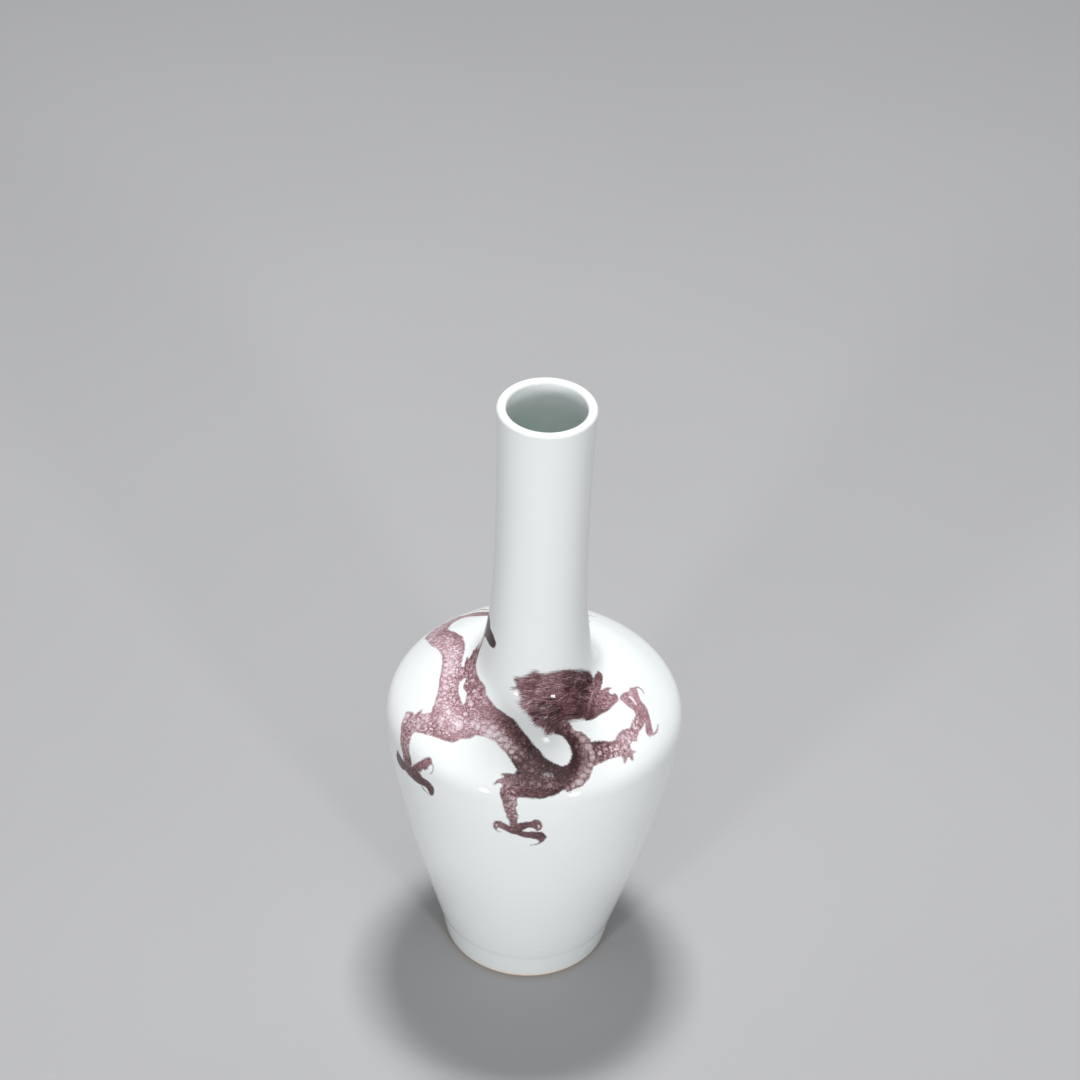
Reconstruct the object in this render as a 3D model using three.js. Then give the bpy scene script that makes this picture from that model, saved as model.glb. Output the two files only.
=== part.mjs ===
// Long-necked porcelain vase with a wide rounded shoulder, painted in underglaze red.
// Thrown in sections and luted with slip: foot ring, lower body, shoulder, neck.
// Millimetres, +Z up. Origin: centre of the foot ring's contact plane. Every section is a
// solid of revolution about +Z, and neighbouring sections meet on a level plane.

import * as THREE from 'three';
import { mergeVertices } from 'three/addons/utils/BufferGeometryUtils.js';

// ---------------------------------------------------------------- driving dimensions
const HEIGHT = 210.0;            // foot to lip
const SEGMENTS = 64;             // facets round the axis

const Z_FOOT_JOINT = 7.8;        // foot ring / lower body
const Z_BELLY_JOINT = 88.2;      // lower body / belly slip
const Z_NECK_JOINT = 114.0;      // shoulder / neck slip
const SLIP_THICKNESS = 0.6;      // layer of slip between two luted sections
const SLIP_BEAD = 0.7;           // how far the slip squeezes out inside

const FLOOR_Z = 12.0;            // upper face of the base
const FLOOR_R = 18.5;            // flat part of the floor

const FOOT_R_OUT = 26.45;        // foot ring, just above its outer bevel
const FOOT_BEVEL = 0.9;          // height of the two bevels
const FOOT_CONTACT_R = [23.0, 25.5];   // unglazed ring that the vase stands on
const FOOT_RECESS_R = [22.3, 21.6];    // inner wall of the ring, at the bevel and at the base

const LIP_R_OUT = 14.64;         // widest circle of the mouth
const LIP_ROUND = 1.45;          // radius of the rounded lip
const BORE_R = 11.74;            // inside of the lip

// Outer wall from the trimmed foot zone (z 10) to the lip, [z, r].
const OUTER = [
  [10.00, 28.25], [18.56, 30.70], [27.13, 32.97], [35.69, 35.28], [44.31, 37.56],
  [54.03, 39.87], [65.79, 42.27], [76.59, 44.38], [83.50, 45.47], [88.48, 45.96],
  [92.47, 45.94], [95.62, 45.38], [98.36, 44.18], [100.83, 42.16], [103.27, 39.25],
  [105.68, 35.69], [107.80, 31.72], [109.27, 28.01], [110.21, 25.16], [111.07, 22.92],
  [112.04, 21.17], [113.21, 19.82], [114.75, 18.71], [116.86, 17.80], [119.85, 16.98],
  [123.77, 16.17], [129.21, 15.36], [136.18, 14.72], [144.17, 14.34], [155.16, 14.09],
  [168.16, 13.99], [182.16, 14.07], [195.16, 14.25], [207.80, 14.62],
];

// Wall thickness square to the surface, at these heights.
const WALL = [[10, 4.6], [42, 4.3], [88, 4.0], [105, 3.9], [115, 3.7], [130, 3.3], [160, 3.1], [208, 2.9]];

// ---------------------------------------------------------------- profile curves

// Natural cubic spline of y over x.
function naturalSpline(x, y) {
  const n = x.length;
  const h = [], m = new Array(n).fill(0), a = [], b = [], c = [], d = [];
  for (let i = 0; i < n - 1; i++) h.push(x[i + 1] - x[i]);
  a[0] = 0; b[0] = 1; c[0] = 0; d[0] = 0;
  for (let i = 1; i < n - 1; i++) {
    a[i] = h[i - 1]; b[i] = 2 * (h[i - 1] + h[i]); c[i] = h[i];
    d[i] = 6 * ((y[i + 1] - y[i]) / h[i] - (y[i] - y[i - 1]) / h[i - 1]);
  }
  a[n - 1] = 0; b[n - 1] = 1; c[n - 1] = 0; d[n - 1] = 0;
  for (let i = 1; i < n; i++) {
    const w = a[i] / b[i - 1];
    b[i] -= w * c[i - 1]; d[i] -= w * d[i - 1];
  }
  m[n - 1] = d[n - 1] / b[n - 1];
  for (let i = n - 2; i >= 0; i--) m[i] = (d[i] - c[i] * m[i + 1]) / b[i];
  return (t) => {
    let i = 0;
    while (i < n - 2 && t > x[i + 1]) i++;
    const u = (x[i + 1] - t) / h[i], v = (t - x[i]) / h[i];
    return u * y[i] + v * y[i + 1] + ((u ** 3 - u) * m[i] + (v ** 3 - v) * m[i + 1]) * h[i] * h[i] / 6;
  };
}

// Linear reading of a table of [x, y].
function table(rows, x) {
  if (x <= rows[0][0]) return rows[0][1];
  for (let i = 1; i < rows.length; i++) {
    if (x <= rows[i][0]) {
      const t = (x - rows[i - 1][0]) / (rows[i][0] - rows[i - 1][0]);
      return rows[i - 1][1] + t * (rows[i][1] - rows[i - 1][1]);
    }
  }
  return rows[rows.length - 1][1];
}

const chord = [0];
for (let i = 1; i < OUTER.length; i++) {
  chord.push(chord[i - 1] + Math.hypot(OUTER[i][0] - OUTER[i - 1][0], OUTER[i][1] - OUTER[i - 1][1]));
}
const outerZ = naturalSpline(chord, OUTER.map((p) => p[0]));
const outerR = naturalSpline(chord, OUTER.map((p) => p[1]));

// Dense outer wall, and the inner wall set off from it by the wall thickness.
const outerWall = [], innerWall = [];
const DENSE = 4000, REACH = chord[chord.length - 1];
for (let i = 0; i <= DENSE; i++) {
  const t = REACH * i / DENSE, e = 0.01;
  const z = outerZ(t), r = outerR(t);
  const t0 = Math.max(0, t - e), t1 = Math.min(REACH, t + e);
  const dz = outerZ(t1) - outerZ(t0), dr = outerR(t1) - outerR(t0), l = Math.hypot(dz, dr);
  const w = table(WALL, z);
  outerWall.push([z, r]);
  innerWall.push([z + w * dr / l, r - w * dz / l]);
}
const outerAt = (z) => (z < OUTER[0][0]
  ? FOOT_R_OUT + (OUTER[0][1] - FOOT_R_OUT) * (z - FOOT_BEVEL) / (OUTER[0][0] - FOOT_BEVEL)
  : table(outerWall, z));
const innerAt = (z) => table(innerWall, z);

// ---------------------------------------------------------------- solids of revolution

// profile is a list of [r, z]: it starts and ends on the axis, or closes on itself.
function revolve(profile) {
  const geometry = new THREE.LatheGeometry(profile.map(([r, z]) => new THREE.Vector2(r, z)), SEGMENTS);
  geometry.rotateX(Math.PI / 2);
  geometry.deleteAttribute('normal');
  geometry.deleteAttribute('uv');
  const merged = mergeVertices(geometry, 1e-4);
  const p = merged.getAttribute('position'), index = merged.getIndex().array, keep = [];
  for (let i = 0; i < index.length; i += 3) {
    const [a, b, c] = [index[i], index[i + 1], index[i + 2]];
    if (a !== b && b !== c && c !== a) keep.push(a, b, c);
  }
  // faces point outwards when the enclosed volume is positive
  let volume = 0;
  const A = new THREE.Vector3(), B = new THREE.Vector3(), C = new THREE.Vector3();
  for (let i = 0; i < keep.length; i += 3) {
    A.fromBufferAttribute(p, keep[i]); B.fromBufferAttribute(p, keep[i + 1]); C.fromBufferAttribute(p, keep[i + 2]);
    volume += A.dot(B.cross(C)) / 6;
  }
  if (volume < 0) for (let i = 0; i < keep.length; i += 3) [keep[i + 1], keep[i + 2]] = [keep[i + 2], keep[i + 1]];
  merged.setIndex(keep);
  merged.computeVertexNormals();
  return merged;
}

const porcelain = (name, color, roughness) => new THREE.MeshStandardMaterial({ name, color, roughness, metalness: 0 });

const vase = new THREE.Group();
vase.name = 'underglaze_red_vase';
function add(name, profile, material) {
  const mesh = new THREE.Mesh(revolve(profile), material);
  mesh.name = name;
  vase.add(mesh);
}
const outerRows = (heights) => heights.map((z) => [outerAt(z), z]);
const innerRows = (heights) => heights.map((z) => [innerAt(z), z]);

// Foot ring: the trimmed ring that the vase stands on, with a bare contact face.
add('foot_ring', [
  [FOOT_RECESS_R[0], FOOT_BEVEL],
  [FOOT_CONTACT_R[0], 0],
  [FOOT_CONTACT_R[1], 0],
  [FOOT_R_OUT, FOOT_BEVEL],
  [outerAt(3.8), 3.8],
  [outerAt(Z_FOOT_JOINT), Z_FOOT_JOINT],
  [FOOT_RECESS_R[1], Z_FOOT_JOINT],
  [FOOT_RECESS_R[0], FOOT_BEVEL],
], porcelain('biscuit_foot', 0xe9dccb, 0.55));

// Lower body: base, floor and the flared wall up to the belly joint.
add('lower_body', [
  [0, Z_FOOT_JOINT],
  [outerAt(Z_FOOT_JOINT), Z_FOOT_JOINT],
  ...outerRows([10, 17, 26, 35, 44, 55, 67, 78, Z_BELLY_JOINT]),
  ...innerRows([Z_BELLY_JOINT, 78, 66, 54, 43, 34, 26, 21]),
  [25.0, 16.6],
  [22.4, 13.6],
  [FLOOR_R, FLOOR_Z + 0.1],
  [0, FLOOR_Z],
], porcelain('glazed_white_lower', 0xe4e7ea, 0.12));

// Shoulder: the widest part, closing in towards the neck.
add('shoulder', [
  [innerAt(Z_BELLY_JOINT + SLIP_THICKNESS), Z_BELLY_JOINT + SLIP_THICKNESS],
  ...outerRows([Z_BELLY_JOINT + SLIP_THICKNESS, 90.4, 92.4, 95, 97.4, 99.7, 101.8, 104, 106.2, 108.2, 109.8, 110.9, 112.2, Z_NECK_JOINT]),
  ...innerRows([Z_NECK_JOINT, 111.2, 109, 107.3, 105.8, 103.7, 100.8, 98, 95, 92]),
  [innerAt(Z_BELLY_JOINT + SLIP_THICKNESS), Z_BELLY_JOINT + SLIP_THICKNESS],
], porcelain('glazed_white_shoulder', 0xeef0f2, 0.12));

// Neck: a tall slightly waisted tube that flares at its root and ends in a rounded lip.
const lip = [];
for (let i = 0; i <= 6; i++) {
  const a = Math.PI * i / 6;
  lip.push([
    (LIP_R_OUT + BORE_R) / 2 + (LIP_R_OUT - BORE_R) / 2 * Math.cos(a),
    HEIGHT - LIP_ROUND + LIP_ROUND * Math.sin(a),
  ]);
}
add('neck', [
  [innerAt(Z_NECK_JOINT + SLIP_THICKNESS), Z_NECK_JOINT + SLIP_THICKNESS],
  ...outerRows([Z_NECK_JOINT + SLIP_THICKNESS, 116.5, 119.5, 123.5, 129, 137, 150, 168, 188, 201]),
  ...lip,
  ...innerRows([200, 184, 165, 148, 136, 128, 122, 118]),
  [innerAt(Z_NECK_JOINT + SLIP_THICKNESS), Z_NECK_JOINT + SLIP_THICKNESS],
], porcelain('glazed_white_neck', 0xeceff0, 0.12));

// Luting slip: the thin layer that bonds two sections, flush outside, a small bead inside.
function slip(z0) {
  const z1 = z0 + SLIP_THICKNESS, zm = (z0 + z1) / 2;
  return [
    [innerAt(z0), z0], [outerAt(z0), z0], [outerAt(z1), z1], [innerAt(z1), z1],
    [innerAt(zm) - SLIP_BEAD, zm], [innerAt(z0), z0],
  ];
}
add('belly_luting_slip', slip(Z_BELLY_JOINT), porcelain('fired_slip_belly', 0xe6e6e2, 0.3));
add('neck_luting_slip', slip(Z_NECK_JOINT), porcelain('fired_slip_neck', 0xe6e6e2, 0.3));

export default vase;
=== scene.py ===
import math

import bpy
import numpy as np
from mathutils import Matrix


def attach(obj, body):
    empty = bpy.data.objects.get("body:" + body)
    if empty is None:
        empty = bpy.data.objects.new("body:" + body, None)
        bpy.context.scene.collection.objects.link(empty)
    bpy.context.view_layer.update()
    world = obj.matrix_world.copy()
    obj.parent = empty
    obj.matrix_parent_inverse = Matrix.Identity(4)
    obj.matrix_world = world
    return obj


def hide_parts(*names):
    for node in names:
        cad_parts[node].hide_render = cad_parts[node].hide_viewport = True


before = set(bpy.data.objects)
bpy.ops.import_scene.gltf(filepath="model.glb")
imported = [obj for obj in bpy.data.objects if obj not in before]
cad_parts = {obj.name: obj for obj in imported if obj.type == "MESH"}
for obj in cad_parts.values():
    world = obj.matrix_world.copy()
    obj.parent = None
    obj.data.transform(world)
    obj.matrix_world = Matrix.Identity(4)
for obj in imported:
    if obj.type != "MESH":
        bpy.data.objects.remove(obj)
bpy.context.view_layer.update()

MM = 0.001
H = 210.0

# ---------------------------------------------------------------- camera
# A 100 mm lens on a 36 mm frame, 1.07 m from the vase and looking down 39 degrees, with a slight roll.
PITCH, ROLL, YAW = 0.683923, 0.0426606, -0.000568578


def camera_axes():
    fw = np.array([0, math.cos(PITCH), -math.sin(PITCH)])
    right = np.array([1.0, 0, 0])
    up = np.cross(right, fw)
    c, s = math.cos(YAW), math.sin(YAW)
    fw2, right2 = c * fw + s * right, c * right - s * fw
    c, s = math.cos(ROLL), math.sin(ROLL)
    return fw2, c * right2 + s * up, -s * right2 + c * up


from mathutils import Matrix, Vector

fw, rt, up = camera_axes()
cam_data = bpy.data.cameras.new("camera")
cam_data.sensor_fit = "HORIZONTAL"
cam_data.sensor_width = 36.0
cam_data.lens = 100.0
cam_data.clip_start = 0.05
cam_data.clip_end = 20.0
cam = bpy.data.objects.new("camera", cam_data)
m = Matrix.Identity(4)
for i, axis in enumerate((rt, up, -fw)):
    for j in range(3):
        m[j][i] = float(axis[j])
m[0][3], m[1][3], m[2][3] = 0.0, -3.27020 * 0.21, 3.43031 * 0.21
cam.matrix_world = m
bpy.context.scene.collection.objects.link(cam)
bpy.context.scene.camera = cam

# ---------------------------------------------------------------- profile (mm)
OUTER = [
    (10.00, 28.25), (18.56, 30.70), (27.13, 32.97), (35.69, 35.28), (44.31, 37.56), (54.03, 39.87),
    (65.79, 42.27), (76.59, 44.38), (83.50, 45.47), (88.48, 45.96), (92.47, 45.94), (95.62, 45.38),
    (98.36, 44.18), (100.83, 42.16), (103.27, 39.25), (105.68, 35.69), (107.80, 31.72), (109.27, 28.01),
    (110.21, 25.16), (111.07, 22.92), (112.04, 21.17), (113.21, 19.82), (114.75, 18.71), (116.86, 17.80),
    (119.85, 16.98), (123.77, 16.17), (129.21, 15.36), (136.18, 14.72), (144.17, 14.34), (155.16, 14.09),
    (168.16, 13.99), (182.16, 14.07), (195.16, 14.25), (207.80, 14.62),
]
WALL = [(10, 4.6), (42, 4.3), (88, 4.0), (105, 3.9), (115, 3.7), (130, 3.3), (160, 3.1), (208, 2.9)]
Z_FOOT, Z_BELLY, Z_NECK, SLIP = 7.8, 88.2, 114.0, 0.6


def natural(x, y):
    x, y = np.asarray(x, float), np.asarray(y, float)
    n, h = len(x), np.diff(x)
    a, b = np.zeros((n, n)), np.zeros(n)
    a[0, 0] = a[-1, -1] = 1
    for i in range(1, n - 1):
        a[i, i - 1], a[i, i], a[i, i + 1] = h[i - 1], 2 * (h[i - 1] + h[i]), h[i]
        b[i] = 6 * ((y[i + 1] - y[i]) / h[i] - (y[i] - y[i - 1]) / h[i - 1])
    k = np.linalg.solve(a, b)

    def f(t):
        t = np.asarray(t, float)
        i = np.clip(np.searchsorted(x, t) - 1, 0, n - 2)
        u, v = (x[i + 1] - t) / h[i], (t - x[i]) / h[i]
        return u * y[i] + v * y[i + 1] + ((u**3 - u) * k[i] + (v**3 - v) * k[i + 1]) * h[i] ** 2 / 6

    return f


op = np.array(OUTER)
chord = np.concatenate([[0], np.cumsum(np.hypot(*np.diff(op, axis=0).T))])
spline_z, spline_r = natural(chord, op[:, 0]), natural(chord, op[:, 1])
T = np.linspace(0, chord[-1], 20001)
CZ, CR = spline_z(T), spline_r(T)
# below z = 10 the foot zone is a straight flare down to the bevel at z = 0.9
fz = np.linspace(0.9, 10, 400, endpoint=False)
fr = 26.45 + (28.25 - 26.45) * (fz - 0.9) / 9.1
ez = np.linspace(207.8, 208.55, 60)[1:]
CZ = np.concatenate([fz, CZ, ez])
CR = np.concatenate([fr, CR, 14.62 + 0.02 * (ez - 207.8) / 0.75])
CS = np.concatenate([[0], np.cumsum(np.hypot(np.diff(CZ), np.diff(CR)))])
CS -= np.interp(88.48, CZ, CS) - 81.004    # s = 81.004 at z = 88.48, as the painting counts it
tz, tr = np.gradient(CZ, CS), np.gradient(CR, CS)
L = np.hypot(tz, tr)
CNZ, CNR = -tr / L, tz / L             # outward normal of the wall


def at_z(z):
    return np.interp(z, CZ, CS)


def ripple(s, th):
    """Radial throwing rings and the turned groove above the foot, in mm (never outward past 0.02)."""
    z = np.interp(s, CS, CZ)
    low = np.clip((86 - z) / 20, 0, 1) * np.clip((z - 12.5) / 6, 0, 1)
    ph = 0.5 * np.sin(th + 0.6) + 0.35 * np.sin(2 * th - 1.1)
    rings = 0.0075 * np.sin(2 * math.pi * z / 3.15 + ph) + 0.0055 * np.sin(2 * math.pi * z / 5.3 + 1.7 - ph)
    rings += 0.0035 * np.sin(2 * math.pi * z / 2.1 + 2.0 * ph)
    neck = np.clip((z - 124) / 12, 0, 1) * np.clip((206 - z) / 6, 0, 1)
    rings_n = 0.006 * np.sin(2 * math.pi * z / 9.5 + 0.8 * ph) + 0.0035 * np.sin(2 * math.pi * z / 5.2 + 1.0)
    groove = -0.03 * np.exp(-(((z - 11.0) / 0.9) ** 2)) + 0.015 * np.exp(-(((z - 12.9) / 0.9) ** 2))
    bow = 0.018 * np.sin(th * 2 + 0.7) * np.clip((z - 14) / 30, 0, 1) * np.clip((205 - z) / 40, 0, 1) - 0.03
    return (rings - 0.02) * low + (rings_n - 0.01) * neck + groove + np.minimum(bow, 0) * (low + neck)


def wall_at(z):
    w = np.array(WALL, float)
    return np.interp(z, w[:, 0], w[:, 1])


# inner wall: the outer wall offset along its inward normal
iz = CZ - CNZ * wall_at(CZ)
ir = CR - CNR * wall_at(CZ)
keep = CZ > 12
IZ, IR = iz[keep], ir[keep]
order = np.argsort(IZ)
IZ, IR = IZ[order], IR[order]


def inner_r(z):
    return np.interp(z, IZ, IR)



# ---------------------------------------------------------------- the painted dragon
# Outlines and brush strokes on the wall: (angle from the front in degrees, + to the right; millimetres along the wall from z = 10).
SHAPE = {
    "tail_a": [
        (-61.1, 103.2), (-63.5, 104.4), (-66.8, 105.9), (-71.2, 107.5), (-76.5, 108.6), (-81.8, 109.3),
        (-87.9, 109.9), (-94.3, 109.9), (-99.3, 109.3), (-104.6, 107.7), (-108.3, 105.6), (-111.1, 103.2),
        (-115.2, 100.2), (-119.3, 97.5), (-123.7, 95.9), (-126.8, 95.8), (-129.0, 96.6), (-131.5, 96.9),
        (-133.2, 97.8), (-130.3, 101.7), (-127.0, 103.2), (-124.7, 106.0), (-123.9, 108.1), (-121.8, 110.3),
        (-120.7, 112.0), (-117.9, 113.3), (-113.0, 115.0), (-109.0, 115.9), (-103.2, 116.5), (-97.6, 116.7),
        (-91.7, 116.6), (-85.7, 116.3), (-79.3, 116.0), (-69.8, 114.6), (-66.7, 114.0), (-62.8, 113.1),
        (-59.5, 112.6), (-55.9, 112.1), (-53.0, 111.7), (-50.8, 111.4), (-42.6, 110.4), (-43.9, 105.7),
        (-53.6, 103.1)
    ],
    "leg_b": [
        (-84.5, 132.6), (-90, 131.6), (-97, 129.4), (-102, 126.4), (-104.5, 123.6), (-102.5, 121.7), (-97.5, 121.3),
        (-100.0, 120.5), (-95.5, 120.0), (-91.8, 119.3), (-90.1, 119.0), (-95.4, 118.2), (-91.6, 117.9),
        (-88.1, 117.6), (-84.4, 117.3), (-77.6, 117.1), (-70.5, 116.7), (-68.3, 116.2), (-66.6, 115.5),
        (-64.1, 114.9), (-62.0, 114.6), (-59.8, 114.7), (-57.1, 114.5), (-54.4, 113.4), (-52.1, 112.4),
        (-50.8, 111.4), (-44.6, 108.8), (-34.6, 107.3), (-28.7, 110.4), (-25.4, 115.2), (-26.5, 116.0),
        (-29.8, 116.3), (-33.9, 117.0), (-39.0, 117.8), (-43.8, 118.5), (-46.5, 119.2), (-49.2, 120.0),
        (-53.3, 120.4), (-58.6, 120.4), (-63.9, 120.7), (-69.2, 121.1), (-74.1, 121.5), (-78.0, 122.3),
        (-81.5, 123.7), (-83.6, 125.1), (-84.6, 126.8), (-84.8, 128.4), (-84.8, 129.8), (-83.8, 131.0),
        (-82.6, 132.0)
    ],
    "link": [
        (-86.6, 115.0), (-84.9, 116.3), (-83.9, 117.4), (-80.6, 118.2), (-71.2, 117.3), (-71.0, 116.7),
        (-70.5, 115.8), (-69.8, 114.8), (-71.2, 113.9)
    ],
    "body": [
        (-51.4, 111.4), (-49.2, 115.0), (-44.2, 118.4), (-37.6, 117.2), (-32.6, 116.5), (-24.5, 116.0),
        (-18.1, 115.0), (-13.7, 114.4), (-10.3, 113.1), (-6.1, 111.0), (-2.4, 108.9), (0.3, 107.0), (3.6, 105.1),
        (6.1, 102.9), (8.5, 101.7), (11.2, 100.6), (13.9, 99.8), (16.5, 100.4), (18.6, 102.1), (19.4, 104.4),
        (18.4, 107.3), (16.2, 109.3), (12.5, 110.2), (9.9, 112.7), (17.8, 115.9), (23.6, 113.6), (25.5, 110.0),
        (28.6, 109.0), (30.5, 107.3), (31.3, 105.5), (31.1, 103.7), (30.6, 101.3), (29.0, 98.9), (26.7, 96.9),
        (24.7, 95.1), (22.2, 93.6), (19.7, 92.7), (17.1, 92.5), (14.8, 91.7), (13.1, 92.7), (10.9, 91.8),
        (7.3, 90.9), (3.2, 90.4), (-1.2, 90.6), (-5.3, 90.6), (-8.5, 93.6), (-6.6, 98.5), (-8.1, 99.7),
        (-10.7, 101.7), (-14.0, 103.5), (-16.8, 104.5), (-20.1, 105.7), (-23.5, 106.1), (-27.5, 106.0),
        (-31.3, 105.6), (-37.8, 105.6), (-45.1, 107.8)
    ],
    "thigh": [
        (-63.7, 104.5), (-61.1, 102.5), (-62.6, 101.2), (-64.2, 100.0), (-66.2, 101.2), (-66.5, 99.4),
        (-66.6, 97.9), (-68.1, 97.8), (-71.3, 95.9), (-70.4, 94.9), (-69.4, 94.0), (-68.3, 92.7), (-67.3, 92.1),
        (-65.1, 90.8), (-63.6, 89.3), (-62.0, 88.0), (-59.5, 86.6), (-57.7, 84.3), (-56.5, 82.7), (-52.6, 85.8),
        (-53.4, 87.6), (-55.8, 89.4), (-57.2, 90.9), (-58.6, 93.0), (-59.1, 94.5), (-56.7, 95.8), (-52.6, 97.3),
        (-49.3, 98.1), (-45.7, 98.9), (-42.9, 99.4), (-40.2, 100.0), (-38.3, 101.2), (-37.3, 102.4), (-34.2, 103.4),
        (-32.1, 104.6), (-31.3, 105.6), (-28.4, 108.9), (-39.3, 112.4), (-55.4, 109.7)
    ],
    "hfoot1": [
        (-63.3, 85.0), (-64.4, 82.6), (-64.3, 81.3), (-63.0, 80.0), (-60.6, 79.6), (-57.9, 80.3), (-54.7, 82.7),
        (-56.6, 84.1), (-59.1, 84.3), (-61.5, 84.7)
    ],
    "hfoot2": [
        (-56.1, 82.5), (-52.8, 85.2), (-50.9, 87.2), (-49.5, 88.8), (-48.2, 90.2), (-47.2, 91.6), (-45.8, 92.5),
        (-44.2, 92.5), (-43.3, 91.8), (-43.6, 90.3), (-44.4, 88.7), (-46.2, 87.7), (-46.7, 86.7), (-47.9, 85.9),
        (-51.9, 82.3)
    ],
    "hfoot3": [
        (-60.3, 81.0), (-57.8, 81.0), (-55.5, 80.8), (-53.7, 80.8), (-50.8, 80.8), (-48.1, 81.1), (-45.8, 81.6),
        (-44.2, 82.1), (-42.8, 81.7), (-42.0, 80.8), (-41.2, 80.2), (-40.3, 80.4), (-39.4, 81.6), (-39.2, 83.2),
        (-40.0, 84.6), (-41.1, 85.1), (-42.4, 85.4), (-44.2, 85.4), (-46.2, 85.4), (-47.5, 86.0), (-52.8, 85.3),
        (-57.0, 84.4)
    ],
    "fleg": [
        (-5.3, 99.3), (-7.8, 97.5), (-9.9, 97.4), (-11.7, 97.2), (-13.0, 96.5), (-11.8, 96.1), (-12.7, 95.6),
        (-14.4, 94.5), (-15.2, 93.2), (-13.9, 93.4), (-13.1, 93.8), (-11.5, 93.5), (-12.0, 92.6), (-12.2, 91.6),
        (-11.9, 90.5), (-11.3, 89.5), (-10.6, 87.7), (-9.6, 85.3), (-8.5, 83.1), (-7.6, 80.9), (-7.1, 78.5),
        (-4.5, 79.1), (-4.4, 81.8), (-4.3, 84.3), (-5.1, 86.9), (-4.8, 88.8), (-5.3, 90.3), (-1.5, 92.4),
        (-1.1, 97.5)
    ],
    "ffoot1": [
        (-6.5, 79.3), (-7.4, 79.5), (-8.9, 80.1), (-10.7, 80.9), (-12.4, 81.0), (-13.5, 79.7), (-13.9, 78.1),
        (-13.5, 76.9), (-12.8, 76.5), (-11.6, 77.6), (-9.5, 77.0), (-7.4, 76.1), (-4.6, 76.5)
    ],
    "ffoot2": [
        (-6.9, 79.0), (-4.2, 81.0), (-2.8, 81.6), (-1.4, 81.9), (0.6, 82.3), (1.8, 83.0), (3.2, 83.0), (4.3, 81.8),
        (4.8, 79.9), (4.1, 78.4), (2.8, 77.9), (2.0, 78.8), (0.3, 79.4), (-1.0, 79.0), (-2.1, 78.1), (-3.1, 76.9),
        (-5.0, 76.6)
    ],
    "ffoot3": [
        (-8.0, 77.6), (-5.0, 78.2), (-3.1, 78.0), (-2.0, 77.7), (-0.5, 77.5), (1.4, 77.7), (2.9, 77.6), (4.9, 77.4),
        (6.1, 76.3), (6.5, 74.8), (6.1, 73.5), (5.2, 72.3), (4.2, 72.0), (3.6, 72.8), (3.1, 73.6), (0.5, 74.3),
        (-2.1, 74.6), (-4.9, 75.6), (-7.4, 76.0)
    ],
    "mane": [
        (-22.9, 126.6), (-21.3, 127.6), (-15.4, 128.4), (-10.8, 129.2), (-6.3, 130.2), (-3.8, 130.8), (0.3, 131.1),
        (5.0, 130.5), (9.0, 130.2), (15.8, 130.5), (22.9, 130.6), (30.3, 130.4), (38.1, 129.6), (46.1, 128.2),
        (54.9, 126.5), (65.0, 124.0), (66.2, 122.1), (66.1, 119.5), (57.6, 116.9), (47.8, 113.7), (39.3, 111.6),
        (36.0, 111.9), (28.6, 113.1), (22.9, 112.8), (17.9, 111.4), (12.5, 110.2), (10.1, 109.9), (7.8, 109.8),
        (6.4, 111.0), (5.0, 112.1), (3.0, 112.6), (0.4, 113.4), (-1.9, 114.7), (-3.2, 115.9), (-5.9, 116.9),
        (-8.2, 117.5), (-11.0, 118.6), (-13.6, 119.3), (-15.2, 120.1), (-14.1, 121.2), (-14.4, 122.1),
        (-16.0, 123.0), (-17.9, 123.8), (-23.1, 123.7), (-19.1, 124.9), (-20.6, 125.9)
    ],
    "head": [
        (34.5, 112.0), (37.7, 111.3), (41.3, 111.3), (47.0, 111.3), (52.0, 110.9), (56.1, 110.9), (59.6, 111.0),
        (63.0, 110.8), (65.2, 111.1), (67.4, 112.1), (68.0, 113.1), (66.4, 113.5), (65.5, 114.3), (67.6, 114.9),
        (71.4, 114.5), (69.8, 115.7), (67.0, 116.4), (62.3, 117.2), (59.0, 119.0), (49.4, 118.6), (38.0, 116.1)
    ],
    "ear": [
        (78.0, 120.0), (76.7, 120.9), (70.4, 121.4), (64.3, 121.1), (59.9, 120.3), (55.2, 118.8), (61.7, 117.1),
        (65.5, 117.4), (70.4, 117.9), (75.1, 118.4), (78.1, 119.3)
    ],
    "hand": [
        (66.9, 111.1), (69.8, 111.1), (72.7, 110.7), (74.2, 110.1), (74.9, 109.6), (77.7, 109.7), (79.9, 109.0),
        (80.6, 107.7), (79.3, 107.0), (77.3, 106.4), (73.9, 105.0), (72.7, 103.1), (71.0, 101.6), (68.8, 100.4),
        (66.6, 98.8), (64.3, 97.5), (63.6, 96.8), (62.7, 96.2), (59.9, 96.6), (59.8, 98.0), (61.7, 99.4),
        (63.3, 100.4), (62.6, 101.0), (59.6, 100.1), (60.0, 102.6), (63.8, 104.4), (64.8, 106.1), (64.4, 107.5),
        (64.8, 108.6), (65.3, 109.7), (65.3, 110.7)
    ],
    "arm": [
        (65.5, 104.9), (63.6, 104.1), (61.5, 103.9), (58.7, 103.8), (56.9, 103.3), (54.9, 102.9), (52.1, 103.4),
        (49.4, 103.7), (45.9, 103.3), (43.1, 102.5), (40.8, 102.8), (37.4, 103.9), (34.4, 104.7), (31.5, 105.0),
        (27.6, 105.0), (25.0, 99.0), (27.7, 97.7), (30.1, 98.0), (32.8, 98.0), (35.0, 98.1), (37.1, 97.9),
        (39.6, 97.6), (41.5, 97.2), (42.0, 96.2), (41.1, 95.2), (41.8, 94.8), (43.7, 95.7), (44.8, 95.7),
        (44.9, 94.6), (45.9, 94.3), (47.3, 95.8), (49.5, 96.0), (48.0, 97.2), (48.5, 98.3), (50.4, 99.0),
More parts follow.
